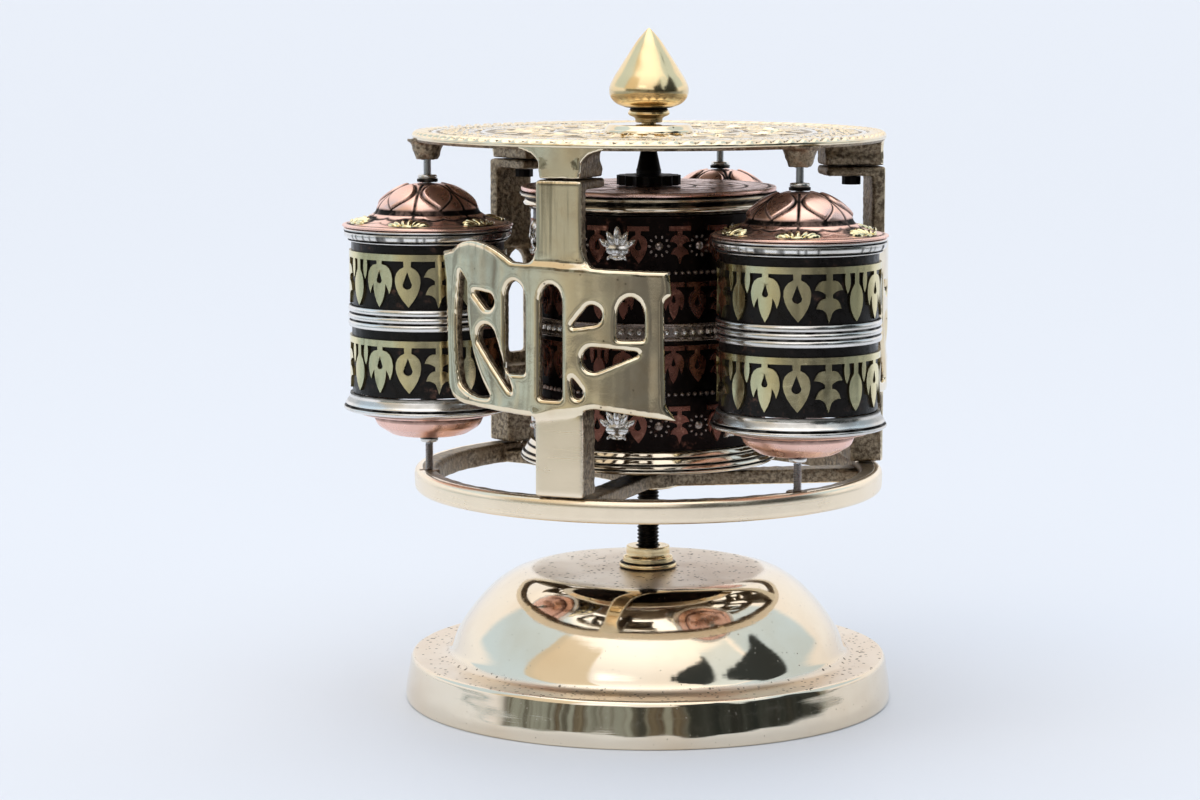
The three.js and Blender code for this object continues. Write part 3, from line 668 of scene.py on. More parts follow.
def casting(name, solids, voxel, rounds):
    # welds closed solids into one casting and rounds every edge; gives points in millimetres, and faces
    shape = bmesh.new()
    for points, faces in solids:
        corners = [shape.verts.new(point) for point in points]
        for face in faces:
            shape.faces.new([corners[k] for k in face])
    bmesh.ops.recalc_face_normals(shape, faces=shape.faces)
    mesh = bpy.data.meshes.new(name)
    shape.to_mesh(mesh)
    shape.free()
    stock = bpy.data.objects.new(name, mesh)
    bpy.context.scene.collection.objects.link(stock)
    weld = stock.modifiers.new("weld", "REMESH")
    weld.mode, weld.voxel_size, weld.use_smooth_shade = "VOXEL", voxel, True
    rounding = stock.modifiers.new("rounding", "SMOOTH")
    rounding.factor, rounding.iterations = 0.5, rounds
    result = bpy.data.meshes.new_from_object(stock.evaluated_get(bpy.context.evaluated_depsgraph_get()))
    bpy.data.objects.remove(stock)
    points = np.empty(len(result.vertices) * 3)
    result.vertices.foreach_get("co", points)
    return points.reshape(-1, 3), [tuple(face.vertices) for face in result.polygons]


def roughened(points, rough, amount, size, seed=0.0):
    # moves points sideways and up or down by noise where rough is high
    shove = np.stack([lump(points, size, seed + k) for k in range(3)], axis=-1)
    return points + shove * (amount * rough)[:, None]


def turnedPoints(points, degrees):
    c, s = math.cos(math.radians(degrees)), math.sin(math.radians(degrees))
    return np.stack([points[:, 0] * c - points[:, 1] * s, points[:, 0] * s + points[:, 1] * c,
                     points[:, 2]], axis=-1)


def angleOf(place):
    # turn from the front, in degrees, of a place round the shaft
    return math.degrees(math.atan2(place[0], -place[1]))


sides = ("right", "rear", "left")
uprightSides = ("front", "right", "left")
wheelCentre = {side: middle(side + "_hub_tube") for side in sides}
uprightAngle = {side: angleOf(middle("foot_screw_" + side)) for side in uprightSides}
print("shape tools ready; uprights at", {side: round(angle, 1) for side, angle in uprightAngle.items()})


# the stand: base, collar and shaft
baseSet = {"radius": 66, "domeFoot": 54.2, "flangeTop": 12.2, "plateau": 31, "pad": 60, "padTop": 2.3,
           "skirt": 57, "wall": 3.5, "shaftHole": 3.3}


def baseSurface(angle, radius, height):
    # dust lies on the level parts; the polished parts carry a slight hand-worked waviness
    flangeTop, plateauTop = baseSet["flangeTop"], topOfBase
    level = smoothStep(flangeTop - 0.3, flangeTop - 0.02, height)
    level = level * (1 - smoothStep(flangeTop + 0.6, flangeTop + 1.6, height))
    level = np.maximum(level, smoothStep(plateauTop - 0.35, plateauTop - 0.05, height))
    wave = 0.035 * np.sin(3 * angle + 0.2 * height) + 0.02 * np.sin(7 * angle - 0.35 * height)
    hammered = 0.016 * np.sin(13 * angle + 2 * np.sin(5 * angle) - 1.2 * height)
    hammered = hammered + 0.008 * np.sin(31 * angle + height)
    return (wave + hammered * (height < flangeTop)) * (height > 0.5), {"satin": level}


def makeStand():
    r, foot, top = baseSet["radius"], baseSet["domeFoot"], baseSet["flangeTop"]
    pad, flat, shaftHole = baseSet["pad"], baseSet["plateau"], baseSet["shaftHole"]
    roof, ledge = topOfBase - baseSet["wall"], top - baseSet["wall"]
    skirt, padTop = baseSet["skirt"], baseSet["padTop"]
    turned("baseShell", [
        (pad, 0), (r - 0.3, 0, 0.5), (r, 0.8, 0.6), (r - 0.1, 3.2, 2.2), (r - 1.4, top - 0.8, 0.8),
        (r - 2.1, top, 0.7), (foot + 1.2, top, 0.9), (foot - 0.4, top + 1.4, 1.2), (foot - 3.1, 19.6, 6),
        (46.4, 26, 6), (41.2, 31.1, 5), (36, 34.2, 4), (flat, topOfBase, 2.2), (shaftHole, topOfBase),
        (shaftHole, roof), (flat - 2, roof), (48, 18), (53, ledge), (skirt, ledge), (skirt, padTop),
        (pad, padTop),
    ], "base_brass", "stand", "polished_brass", ["base_casting"], around=320, longest=1.1,
        surface=baseSurface)

    low, high = span("base_collar")
    turned("collarTurned", [
        (shaftHole, low), (7.7, low, 0.2), (7.9, low + 0.55, 0.5), (7.6, low + 1.15, 0.2),
        (6.8, low + 1.5, 0.3), (6.8, low + 2.8, 0.4), (5.9, low + 3.3, 0.3), (5.9, high, 0.35),
        (shaftHole, high),
    ], "gold_brass", "stand", "gold_brass", ["base_collar"], around=128, longest=0.6,
        surface=sooty(lambda r, z: lineMark(z - low - 1.35, 0.15) + 0.8 * lineMark(z - low, 0.1)))
    print("base and collar turned")


def threadedBar(name, centre, low, high, radius, thread, pitch, depth, end=None, around=24):
    # a round bar with a helical thread between the two heights in thread; end lists the (radius, height)
    # pairs above it
    threadLow, threadHigh = thread
    rows = [low]
    rows += list(np.arange(threadLow, threadHigh, pitch / 6))
    rows += [threadHigh + pitch, (threadHigh + high) / 2, high]
    line = [(radius, z) for z in rows] + list(end or [])
    line = [(0.0, low)] + line + [(0.0, line[-1][1])]
    turn = np.arange(around) * 2 * math.pi / around
    points = []
    for r, z in line:
        phase = (z / pitch - turn / (2 * math.pi)) % 1
        cut = depth * np.abs(phase - 0.5) * 2 if threadLow <= z <= threadHigh and r > 0 else 0 * turn
        points += [(centre[0] + (r - c) * math.sin(t), centre[1] - (r - c) * math.cos(t), z)
                   for t, c in zip(turn, cut)]
    return meshFrom(name, points, gridFaces(len(line), around, False), sharp=42)


topOfBase = span("base_casting")[1]
shaftSet = {"radius": 3, "pitch": 1.0, "depth": 0.5, "tip": 3.35, "end": 1.3, "taper": 8.5}


def makeShaft():
    low, high = span("central_shaft")
    swell = span("crown_washer")[1] + 0.4
    tip = shaftSet["tip"]
    ends = [(tip, swell), (tip, high - shaftSet["taper"] - 0.3), (tip - 0.15, high - shaftSet["taper"]),
            (shaftSet["end"] + 0.2, high - 0.6), (shaftSet["end"] - 0.3, high)]
    mesh = threadedBar("shaftTurned", (0, 0), low, swell - 0.1, shaftSet["radius"],
                       (topOfBase + 5.2, span("support_nut")[1] + 2), shaftSet["pitch"],
                       shaftSet["depth"], ends, 48)
    addPiece("shaftTurned", mesh, "black_steel", "stand", ["central_shaft"])


makeStand()
makeShaft()


# the cage: ring, top plate, uprights and finial
ringSet = {"outer": 63.3, "width": 6.1, "hub": 8, "hubHeight": 4.4, "spoke": 7, "spokeHeight": 4,
           "boss": 3.2, "voxel": 0.5}


def makeRing():
    low, high = span("bottom_ring")
    outer, inner = ringSet["outer"], ringSet["outer"] - ringSet["width"]

    def rim(angle, radius, height):
        polished = np.maximum(smoothStep(outer - 2.6, outer - 1.8, radius),
                              smoothStep(low + 0.5, low + 0.2, height))
        cast = 0.10 * np.sin(41 * angle + height) * np.sin(17 * angle) * (1 - polished)
        return cast, {"polish": polished, "satin": polished}

    turned("ringRim", [
        (inner, low + 0.4, 0.5), (outer - 0.9, low, 0.6), (outer - 0.15, low + 0.8, 0.6),
        (outer, high - 1.6, 0.5), (outer - 0.35, high - 0.45, 0.5), (outer - 1.3, high, 0.6),
        (inner + 0.6, high - 0.3, 0.8), (inner, high - 1.2, 0.8),
    ], "polished_brass", "cage", "polished_brass", ["bottom_ring"], around=300, longest=0.5, sharp=60,
        surface=rim)

    solids = [bar(0, 0, low, ringSet["hub"] - 0.3, low + ringSet["hubHeight"], ringSet["hub"] - 0.7)]
    for angle in uprightAngle.values():
        half = ringSet["spoke"] / 2
        arm = block(-half, half, -(inner + 1.5), -6, low + 0.2, low + 0.2 + ringSet["spokeHeight"])
        corners = [(-half - 3, inner + 1), (half + 3, inner + 1), (half, inner - 6), (-half, inner - 6)]
        gusset = prism([[Vector(corner) for corner in corners]], low + 0.3, low + 3.8)
        lying = [(x, -z, y) for x, y, z in gusset[0]]
        solids += [turnedSolid(*arm, angle), turnedSolid(lying, gusset[1], angle)]
    for side in sides:
        x, y = wheelCentre[side]
        solids.append(bar(x, y, low, ringSet["boss"], high, ringSet["boss"] - 0.2))
    points, faces = casting("ringSpider", solids, ringSet["voxel"], 5)
    points = roughened(points, smoothStep(low + 0.3, low + 1.2, points[:, 2]), 0.16, 1.3)
    points[:, 2] = np.clip(points[:, 2], low, high + 0.1)
    mesh = meshFrom("ringSpider", points, faces,
                    {"polish": smoothStep(low + 0.75, low + 0.35, points[:, 2])}, 180)
    addPiece("ringSpider", mesh, "polished_brass", "cage")
    print("bottom ring cast")


plateSet = {"radius": 63.6, "boss": 11.5, "lug": 11, "flare": 3.2, "lugDepth": 16.3, "voxel": 0.4,
            "petals": 18, "waves": 24, "vine": 34, "twists": 96, "rings": (25.2, 44.4, 57.6), "rope": 58.6,
            "around": 576}


def plateRelief(angle, radius, height):
    # low relief on the upper face: petals round the boss, a vine, a ring of leaves and a twisted rim
    plateTop = span("top_plate")[1] - 1.7
    onTop = smoothStep(plateTop - 0.5, plateTop - 0.1, height)
    petal = np.abs(np.sin(angle * plateSet["petals"] / 2))
    edge = 13 + 9 * petal ** 0.6
    push = 0.45 * (radius > 12.2) * smoothStep(0.9, 0.1, np.abs(radius - edge)) * (radius < 24)
    push = push + 0.35 * smoothStep(edge - 1.4, edge - 3.5, radius) * (radius > 13)
    vine = plateSet["vine"] + 4.2 * np.sin(angle * plateSet["waves"] / 2)
    push = push + 0.55 * smoothStep(0.9, 0.15, np.abs(radius - vine))
    leaf = np.sin(angle * plateSet["waves"] + 0.8) * np.cos((radius - plateSet["vine"]) * 0.55)
    push = push + 0.42 * smoothStep(0.25, 0.75, leaf) * (np.abs(radius - plateSet["vine"]) < 8.6)
    for line in plateSet["rings"]:
        push = push + 0.4 * smoothStep(0.7, 0.2, np.abs(radius - line))
    outer = np.abs(np.sin(angle * plateSet["petals"] * 1.5))
    lotus = 46 + 9.5 * outer ** 0.55
    push = push + 0.5 * smoothStep(0.9, 0.2, np.abs(radius - lotus)) * (radius > 45.5) * (radius < 57)
    push = push + 0.3 * smoothStep(lotus - 2.0, lotus - 4.5, radius) * (radius > 46.5)
    rope = 0.5 + 0.5 * np.sin(angle * plateSet["twists"] + (radius - 60) * 2.2 + (height - plateTop) * 1.5)
    rimZone = smoothStep(plateSet["rope"], plateSet["rope"] + 0.8, radius)
    push = push * (1 - rimZone) - 0.6 * (1 - rimZone) * (radius > 12.2)
    push = push + rimZone * (0.08 - 0.95 * (1 - rope) ** 2)
    lift = smoothStep(-0.55, 0.1, push)
    rough = {"polish": np.clip(onTop * (0.44 + 0.5 * lift) + smoothStep(62.4, 63.0, radius) * 0.9, 0, 1)
             * smoothStep(plateTop - 2.2, plateTop - 1.6, height)}
    return push * np.maximum(onTop, rimZone * smoothStep(plateTop - 1.0, plateTop - 0.4, height)), rough


def makePlate():
    lugLow, bossTop = span("top_plate")
    bottom, top = lugLow + 7.1, bossTop - 1.7
    r = plateSet["radius"]
    under = lathe("plateUnder", [(0, bottom + 1.1), (1.6, bottom + 1.1), (1.6, bottom), (r - 1.4, bottom)],
                  around=plateSet["around"], longest=4, surface=plateRelief, sharp=60)
    upper = lathe("plateDisc", [
        (r - 1.4, bottom), (r - 1.1, bottom, 0.2), (r - 0.15, bottom + 0.9, 0.8),
        (r - 0.1, top - 1.1, 0.9), (r - 1.0, top, 0.8), (plateSet["boss"] + 0.6, top, 0.4),
        (plateSet["boss"] - 0.6, bossTop - 0.1, 0.5), (3, bossTop), (0, bossTop),
    ], around=plateSet["around"], longest=0.58, surface=plateRelief, sharp=60)
    addPiece("plateDisc", joined("plateDisc", [upper, under]), "polished_brass", "cage",
             ["top_plate"])

    half, flare = plateSet["lug"] / 2, plateSet["flare"]
    lug = outline((-half, lugLow), (half, lugLow), (half + 0.2, lugLow + 3.6),
                  (half + 0.9, bottom - 0.6, half + flare + 3, bottom + 0.2),
                  (half + flare + 3, top - 0.7), (-half - flare - 3, top - 0.7),
                  (-half - flare - 3, bottom + 0.2),
                  (-half - 0.9, bottom - 0.6, -half - 0.2, lugLow + 3.6))
    back = -r + plateSet["lugDepth"]
    solids = [prism([lug], -r + 0.35, -r + 5.5)]
    narrow = outline((-half, lugLow), (half, lugLow), (half + 0.2, lugLow + 3.6),
                     (half + 0.9, bottom - 0.6, half + flare, bottom + 0.8),
                     (-half - flare, bottom + 0.8), (-half - 0.9, bottom - 0.6, -half - 0.2, lugLow + 3.6))
    solids.append(prism([narrow], -r + 2, back))
    points, faces = casting("plateLug", solids, plateSet["voxel"], 6)
    depth = points[:, 1] + r
    polished = smoothStep(1.4, 0.8, depth) * smoothStep(lugLow + 0.1, lugLow + 0.5, points[:, 2])
    points = roughened(points, 1 - polished, 0.16, 1.1, 5)
    turn = points[:, 0] / r
    flatter = smoothStep(lugLow + 1.5, lugLow + 6, points[:, 2])
    bentX, bentY = -points[:, 1] * np.sin(turn), points[:, 1] * np.cos(turn)
    points[:, 0] += (bentX - points[:, 0]) * flatter
    points[:, 1] += (bentY - points[:, 1]) * flatter
    points[:, 2] = np.maximum(points[:, 2], lugLow)
    for side, angle in uprightAngle.items():
        mesh = meshFrom("plateLug_" + side, turnedPoints(points, angle), faces, {"polish": polished}, 180)
        addPiece("plateLug_" + side, mesh, "polished_brass", "cage")

    def castLumps(angle, radius, height):
        lumps = 0.07 * np.sin(5 * angle + 2 * height) + 0.05 * np.sin(11 * angle - 3 * height)
        return lumps, {"polish": 0 * radius}

    for side in sides:
        boss = [(1.35, bottom - 4.7), (2.9, bottom - 4.7, 0.4), (3.3, bottom - 3.6, 0.5),
                (4.3, bottom - 0.6, 0.5),
                (5.2, bottom + 0.2, 0.5), (5.2, bottom + 0.6), (1.35, bottom + 0.6)]
        turned("plateBoss_" + side, boss, "polished_brass", "cage", "cast_brass", around=64,
               centre=wheelCentre[side], longest=0.5,
               surface=castLumps)
    print("top plate cast")


uprightSet = {"outer": 63.7, "panelOuter": 64.3, "thickness": 3, "post": 12.6, "postThickness": 3.6,
              "foot": 12.9,
              "footDepth": 9, "flangeDepth": 16.3, "flange": 2.5, "panelHeight": 38.8, "panelRise": 20.5,
              "stretch": 1.017, "voxel": 0.4, "rounds": 18}


def archLoop(left, right, low, high):
    spring = high - (right - left) * 0.8
    centre = (left + right) / 2
    return outline((left, low), (left, spring), (left, high - 1, centre, high),
                   (right, high - 1, right, spring), (right, low))


def traceryLoops(low, high):
    # one outline for the whole panel, and its openings, as (distance round the cage, height)
    panel = outline(
        (-7.3, low), (9.6, low + 2.6), (30.7, low - 0.3), (27.7, low + 4), (27.3, high - 8.7),
        (29.3, high - 7.4), (28.6, high - 1.5), (-7.3, high), (-13.3, high + 0.2),
        (-20, high + 4.8, -26.6, high + 5.1), (-32, high + 4.6, -34.1, high + 2.4), (-39.5, high + 1.5),
        (-37.6, high - 6), (-36.7, low + 6),
        (-35.5, low + 1.6, -28, low + 1.4))
    crescent = outline((-31.5, high - 2.5), (-35, high - 20, -31.5, low + 6.5),
                       (-27, low + 3, -20, low + 4),
                       (-29.6, low + 16, -28.6, high - 5.5))
    openings = [
        crescent, dropLoop(-21.6, 103.4, 3.2, -12, low + 3.6),
        dropLoop(-21, high - 10.2, 2.2, -27, high - 7.6),
        archLoop(-15.6, -9.3, 94.6, high - 4.4), archLoop(-5.3, 1, low + 4.6, high - 4.8),
        dropLoop(9, 110.4, 2.6, 3, 107),
        archLoop(15.2, 22.4, 104.2, high - 7.6), dropLoop(9.4, 99.2, 3.2, 22.4, 101.2),
        dropLoop(5.2, 90.6, 1.5, 3, 95.4)]
    stretch = lambda loop: [Vector((p.x * (uprightSet["stretch"] if p.x < -9.3 else 1), p.y)) for p in loop]
    return [stretch(loop) for loop in [panel] + openings]


def makeUprights():
    bottom, top = span("upright_front")
    u = uprightSet
    low = span("bottom_ring")[1] + u["panelRise"]
    high = low + u["panelHeight"]
    front, panelFront = -u["outer"], -u["panelOuter"]
    half, foot = u["post"] / 2, u["foot"] / 2
    shoulder = outline((-half - 3.4, high - 0.4), (-half - 0.6, high + 0.6, -half, high + 4.2),
                       (half, high + 4.2),
                       (half + 0.6, high + 0.6, half + 3.4, high - 1.2))
    solids = [
        prism(traceryLoops(low, high), panelFront, panelFront + u["thickness"]),
        block(-foot, foot, front, front + u["footDepth"], bottom, low + 1.6),
        block(-half, half, front, front + u["postThickness"], high - 4, top),
        block(-half, half, front, front + u["flangeDepth"], top - u["flange"], top),
        prism([shoulder], front, front + 3),
        bar(-half - 0.4, front + 1.4, high - 3.5, 1.7, high - 0.6, 1.5),
    ]
    points, faces = casting("uprightCast", solids, u["voxel"], u["rounds"])
    depth = points[:, 1] - panelFront
    polished = smoothStep(1.15, 0.75, depth)
    satin = smoothStep(low + 1.5, low - 1.0, points[:, 2]) * smoothStep(1.5, 1.2, depth)
    polished = np.maximum(polished, satin)
    points = roughened(points, 1 - polished, 0.15, 1.0, 9)
    points = roughened(points, polished, 0.03, 7.0, 3)
    turn = points[:, 0] / u["panelOuter"]
    onPost = smoothStep(high + 0.5, high + 4, points[:, 2]) + smoothStep(low + 3, low, points[:, 2])
    onPost = np.clip(onPost, 0, 1) * (np.abs(points[:, 0]) < half + 0.8)
    bentX, bentY = -points[:, 1] * np.sin(turn), points[:, 1] * np.cos(turn)
    points[:, 0] = bentX + (points[:, 0] - bentX) * onPost
    points[:, 1] = bentY + (points[:, 1] - bentY) * onPost
    points[:, 2] = np.clip(points[:, 2], bottom, top)
    brushed = smoothStep(high, high + 3, points[:, 2])
    for side, angle in uprightAngle.items():
        mesh = meshFrom("uprightCast_" + side, turnedPoints(points, angle), faces,
                        {"polish": polished, "brushed": brushed, "satin": satin}, 180)
        addPiece("uprightCast_" + side, mesh, "polished_brass", "cage",
                 ["upright_" + side])
    print("uprights cast:", len(faces), "faces each")


def makeFinial():
    low, high = span("finial")
    foot = low + 2.1
    neck = foot + 2.9
    turned("finialTurned", [
        (0, low), (2, low), (2, foot), (3.6, foot, 0.3), (3.7, foot + 1.3, 0.5), (5.2, foot + 1.9, 0.5),
        (5.7, neck - 0.4, 0.5), (5.2, neck + 0.5, 0.4), (4.8, neck + 0.95, 0.3), (6.1, neck + 1.1, 1),
        (8.9, neck + 2.1, 4), (10.45, neck + 3.8, 4), (10.75, neck + 6.1, 4), (9.7, neck + 8.8, 4),
        (7.6, neck + 12, 4), (5.5, neck + 15.4, 4), (3.2, neck + 18.9, 4), (1.3, high - 1.1, 1.6),
        (0.35, high - 0.1, 0.3), (0, high),
    ], "gold_brass", "cage", "gold_brass", ["finial"], longest=0.55, closed=False,
        surface=sooty(
            lambda r, z: lineMark(z - neck - 1.0, 0.25, 0.4) + 0.5 * (z < neck - 0.6) * (z > foot),
            lambda a, z: 0.02 * np.sin(4 * a + z)))


makeRing()
makePlate()
makeUprights()
makeFinial()


# the three small wheels and their axles
wheelSet = {
    "drum": 20.3, "dome": 14.1, "rod": 1, "rodThread": 1.13, "pitch": 0.45, "threadDepth": 0.26,
    "hole": 1.3, "rayCount": 6, "phase": {"right": -4, "rear": 12, "left": -11},
    "motifs": 16, "reliefDepth": 0.62, "start": 4,
}


def lidSurface(phase, brimTop):
    # engraved rays, raised drops between them, a scalloped line where the dome meets the brim
    dome, rays = wheelSet["dome"], wheelSet["rayCount"]

    def surface(angle, radius, height):
        share = 2 * math.pi / rays
        fromRay = (angle - math.radians(phase) + share / 2) % share - share / 2
        fromDrop = (angle - math.radians(phase)) % share - share / 2
        outside = height > brimTop - 2.75
        onDome = (radius < dome + 0.4) & (height > brimTop - 0.2)
        ray = lineMark(fromRay * radius, 0.26, 0.25) * (radius > 3.4) * (radius < 21.2)
        along = np.clip((radius - 4.6) / 8.9, 0, 1)
        width = 4.1 * np.sin(math.pi * along ** 1.35) ** 0.75
        edge = np.abs(fromDrop * radius) - width
        inDrop = onDome * (radius > 4.6) * (radius < 13.5)
        ring = lineMark(edge, 0.24, 0.3) * inDrop
        raised = smoothStep(0.0, -0.9, edge) * inDrop
        scallop = dome + 1.3 + 0.75 * np.abs(np.sin(angle * rays * 1.5))
        seam = lineMark(radius - scallop, 0.28, 0.3)
        edgeLine = lineMark(radius - 21.3, 0.16, 0.2)
        petal = 17.3 + 2.4 * np.abs(np.cos((angle - math.radians(phase)) * rays / 2)) ** 0.5
        brimLine = lineMark(radius - petal, 0.14, 0.2) * 0.7
        halo = smoothStep(1.15, 0.95, np.hypot(fromRay * radius / 6.0, (radius - 18.2) / 3.1))
        lowLine = lineMark(radius - dome + 0.1, 0.3, 0.3) * (height > brimTop - 0.4)
        cut = np.clip(ray + ring + seam + edgeLine + brimLine + lowLine, 0, 1)
        push = (raised * 0.5 - cut * 0.16) * outside
        return push, {"soot": np.clip(cut + 0.9 * halo, 0, 1) * outside}

    return surface


def ridged(low, high, inner, radius, ridges, depth, lip=0.3):
    # a band whose face carries equal rounded ridges
    step = (high - low) / ridges
    profile = [(inner, low), (radius - lip, low, 0.2)]
    for k in range(ridges):
        profile += [(radius, low + step * (k + 0.3), 0.4), (radius, low + step * (k + 0.7), 0.4)]
        if k < ridges - 1:
            profile += [(radius - depth, low + step * (k + 0.92), 0.1),
                        (radius - depth, low + step * (k + 1.08), 0.1)]
    return profile + [(radius - lip, high, 0.2), (inner, high)]


def makeSmallWheel(side):
    body, centre, w = "wheel_" + side, wheelCentre[side], wheelSet
    phase = w["phase"][side]
    drum = w["drum"]

    low, high = span(side + "_dish")
    turned("dish_" + side, [
        (w["hole"], low), (9.8, low, 0.8), (11.2, low + 0.9, 0.8), (13.7, low + 2.4, 1),
        (14.5, low + 4.2, 0.9), (14.6, low + 5.1, 0.6), (18.2, high - 0.9, 0.5), (19.4, high - 0.3, 0.3),
        (19.5, high), (13.5, high), (13.4, low + 4.6), (10.1, low + 1), (w["hole"], low + 1),
    ], "copper", body, "copper", [side + "_dish"], centre=centre, longest=0.6,
        surface=sooty(
            lambda r, z: 0.8 * lineMark(r - 14.9, 0.2, 0.4) * (z > low + 4)
            + 0.5 * lineMark(r - 19.4, 0.1, 0.5),
            lambda a, z: 0.03 * np.sin(6 * a + z)))

    low, high = span(side + "_bottom_moulding")
    inner = drum - 0.8
    turned("lowMoulding_" + side, [
        (inner, low), (22.1, low, 0.4), (22.75, low + 0.55, 0.4), (22.6, low + 1.15, 0.3),
        (21.9, low + 1.3, 0.1), (21.9, low + 1.55, 0.1), (22.3, low + 1.8, 0.3), (21.6, low + 2.7, 0.8),
        (21.1, low + 3.5, 0.6), (21.0, high - 0.35, 0.3), (20.9, high), (inner, high),
    ], "white_metal", body, "white_metal", [side + "_bottom_moulding"], around=200, centre=centre,
        longest=0.3,
        surface=sooty(
            lambda r, z: (lineMark(z - low - 1.42, 0.2, 0.25) + 0.8 * lineMark(z - high, 0.15, 0.4)
                          + 0.35 * lineMark(z - low - 3.0, 0.3, 0.5)) * (r > drum)))

    low, high = span(side + "_drum")
    turned("drumWall_" + side, [
        (drum - 1, low), (drum, low), (drum, high), (drum - 1, high),
    ], "drum_relief", body, "drum_relief", [side + "_drum"], around=200, centre=centre, longest=1.2,
        sharp=40,
        surface=uneven(0.05, 23, 1.7, 9, drum))

    low, high = span(side + "_middle_band")
    turned("band_" + side, ridged(low, high, drum + 0.25, drum + 0.95, 3, 0.4), "white_metal", body,
           "white_metal", [side + "_middle_band"], around=200, centre=centre, longest=0.35,
           surface=sooty(lambda r, z: smoothStep(drum + 0.8, drum + 0.6, r)))

    low, high = span(side + "_top_moulding")

    def pitted(a, r, z):
        streak = np.sin(37 * a + 5 * np.sin(7 * a)) * np.sin(13 * a + 2)
        pits = smoothStep(0.35, 0.7, streak) * lineMark(z - low - 1.5, 0.5, 0.5)
        groove = lineMark(z - high + 0.75, 0.16, 0.2) + lineMark(z - low - 0.55, 0.14, 0.2)
        return 0 * r, {"soot": np.clip(groove + 0.8 * pits, 0, 1) * (r > drum + 0.3)}

    turned("topMoulding_" + side, [
        (inner, low), (21.1, low, 0.2), (21.3, low + 0.4, 0.2), (21.05, low + 0.6, 0.1),
        (21.9, low + 1.0, 0.4), (22.3, low + 1.7, 0.6), (22.2, high - 0.95, 0.2),
        (21.9, high - 0.8, 0.1), (22.3, high - 0.6, 0.1), (22.4, high - 0.2, 0.2), (22.2, high),
        (inner, high),
    ], "white_metal", body, "white_metal", [side + "_top_moulding"], around=220, centre=centre,
        longest=0.32, surface=pitted)

    low, high = span(side + "_lid")
    brimTop = low + 3.2
    dome = w["dome"]
    turned("lid_" + side, [
        (w["hole"], high - 1), (4.6, high - 1.2), (11, brimTop + 2), (13, brimTop - 0.9), (21.3, low),
        (22.5, low, 0.1), (22.75, low + 0.25, 0.2), (22.5, low + 0.6, 0.2), (20, low + 1.1, 1.5),
        (17, low + 1.9, 1.5), (dome + 0.9, brimTop - 0.25, 0.4), (dome, brimTop + 0.5, 0.6),
        (dome - 1.2, brimTop + 3, 1.6), (dome - 3.8, brimTop + 5.3, 1.8), (dome - 6.8, brimTop + 7, 1.8),
        (4.6, high - 0.25, 1.6), (w["hole"], high),
    ], "copper", body, "copper", [side + "_lid"], around=300, centre=centre, longest=0.46, sharp=55,
        surface=lidSurface(phase, brimTop))


def makeAxle(side):
    centre, w = wheelCentre[side], wheelSet
    low, high = span("axle_rod_" + side)
    nutLow, nutHigh = span("axle_nut_" + side)
    rod = threadedBar("rod_" + side, centre, low, high, w["rodThread"], (low + 0.5, nutLow - 0.4),
                      w["pitch"], w["threadDepth"], [(w["rod"], high)], 20)
    line = np.empty(len(rod.vertices) * 3)
    rod.vertices.foreach_get("co", line)
    line = line.reshape(-1, 3)
    above = line[:, 2] > nutLow * mm
    for k in range(2):
        line[above, k] = centre[k] * mm + (line[above, k] - centre[k] * mm) * w["rod"] / w["rodThread"]
    rod.vertices.foreach_set("co", line.ravel())
    addPiece("rod_" + side, rod, "steel", "cage", ["axle_rod_" + side])

    turned("rodNut_" + side, [
        (w["hole"], nutLow), (2.1, nutLow, 0.2), (2.4, nutLow + 0.4, 0.3), (2.4, nutHigh - 0.9, 0.1),
        (2.1, nutHigh - 0.8, 0.1),
        (2.35, nutHigh - 0.6, 0.2), (2.3, nutHigh, 0.2), (w["hole"], nutHigh)], "white_metal", "cage",
        "steel", ["axle_nut_" + side], around=48, centre=centre, longest=0.25, sharp=40,
        surface=sooty(lambda r, z: lineMark(z - nutHigh + 0.8, 0.1, 0.2)))

    low, high = span("axle_ferrule_" + side)
    # the soot mark darkens the ferrule's lowest ring, where it sits on the lid: partly dark solder, partly
    # painted shade of the gap under it
    turned("ferrule_" + side, [
        (w["hole"], low), (2.75, low, 0.2), (2.8, low + 0.8, 0.1), (2.3, low + 0.95, 0.1),
        (2.6, low + 1.15, 0.2),
        (2.5, high - 0.1, 0.3), (w["hole"], high)], "white_metal", "cage", "white_metal",
        ["axle_ferrule_" + side], around=64, centre=centre, longest=0.2, sharp=40,
        surface=sooty(lambda r, z: smoothStep(low + 1.05, low + 0.8, z)))


for side in sides:
    makeSmallWheel(side)
    makeAxle(side)
print("small wheels turned")


# the main wheel on the shaft
mainSet = {"drum": 31, "hole": 3.6, "motifs": 30, "start": 2, "crests": 6, "crestTurn": -15}


def grooves(height, lines, soft, more=0):
    return np.clip(sum(lineMark(height - line, 0.14, soft) for line in lines) + more, 0, 1)


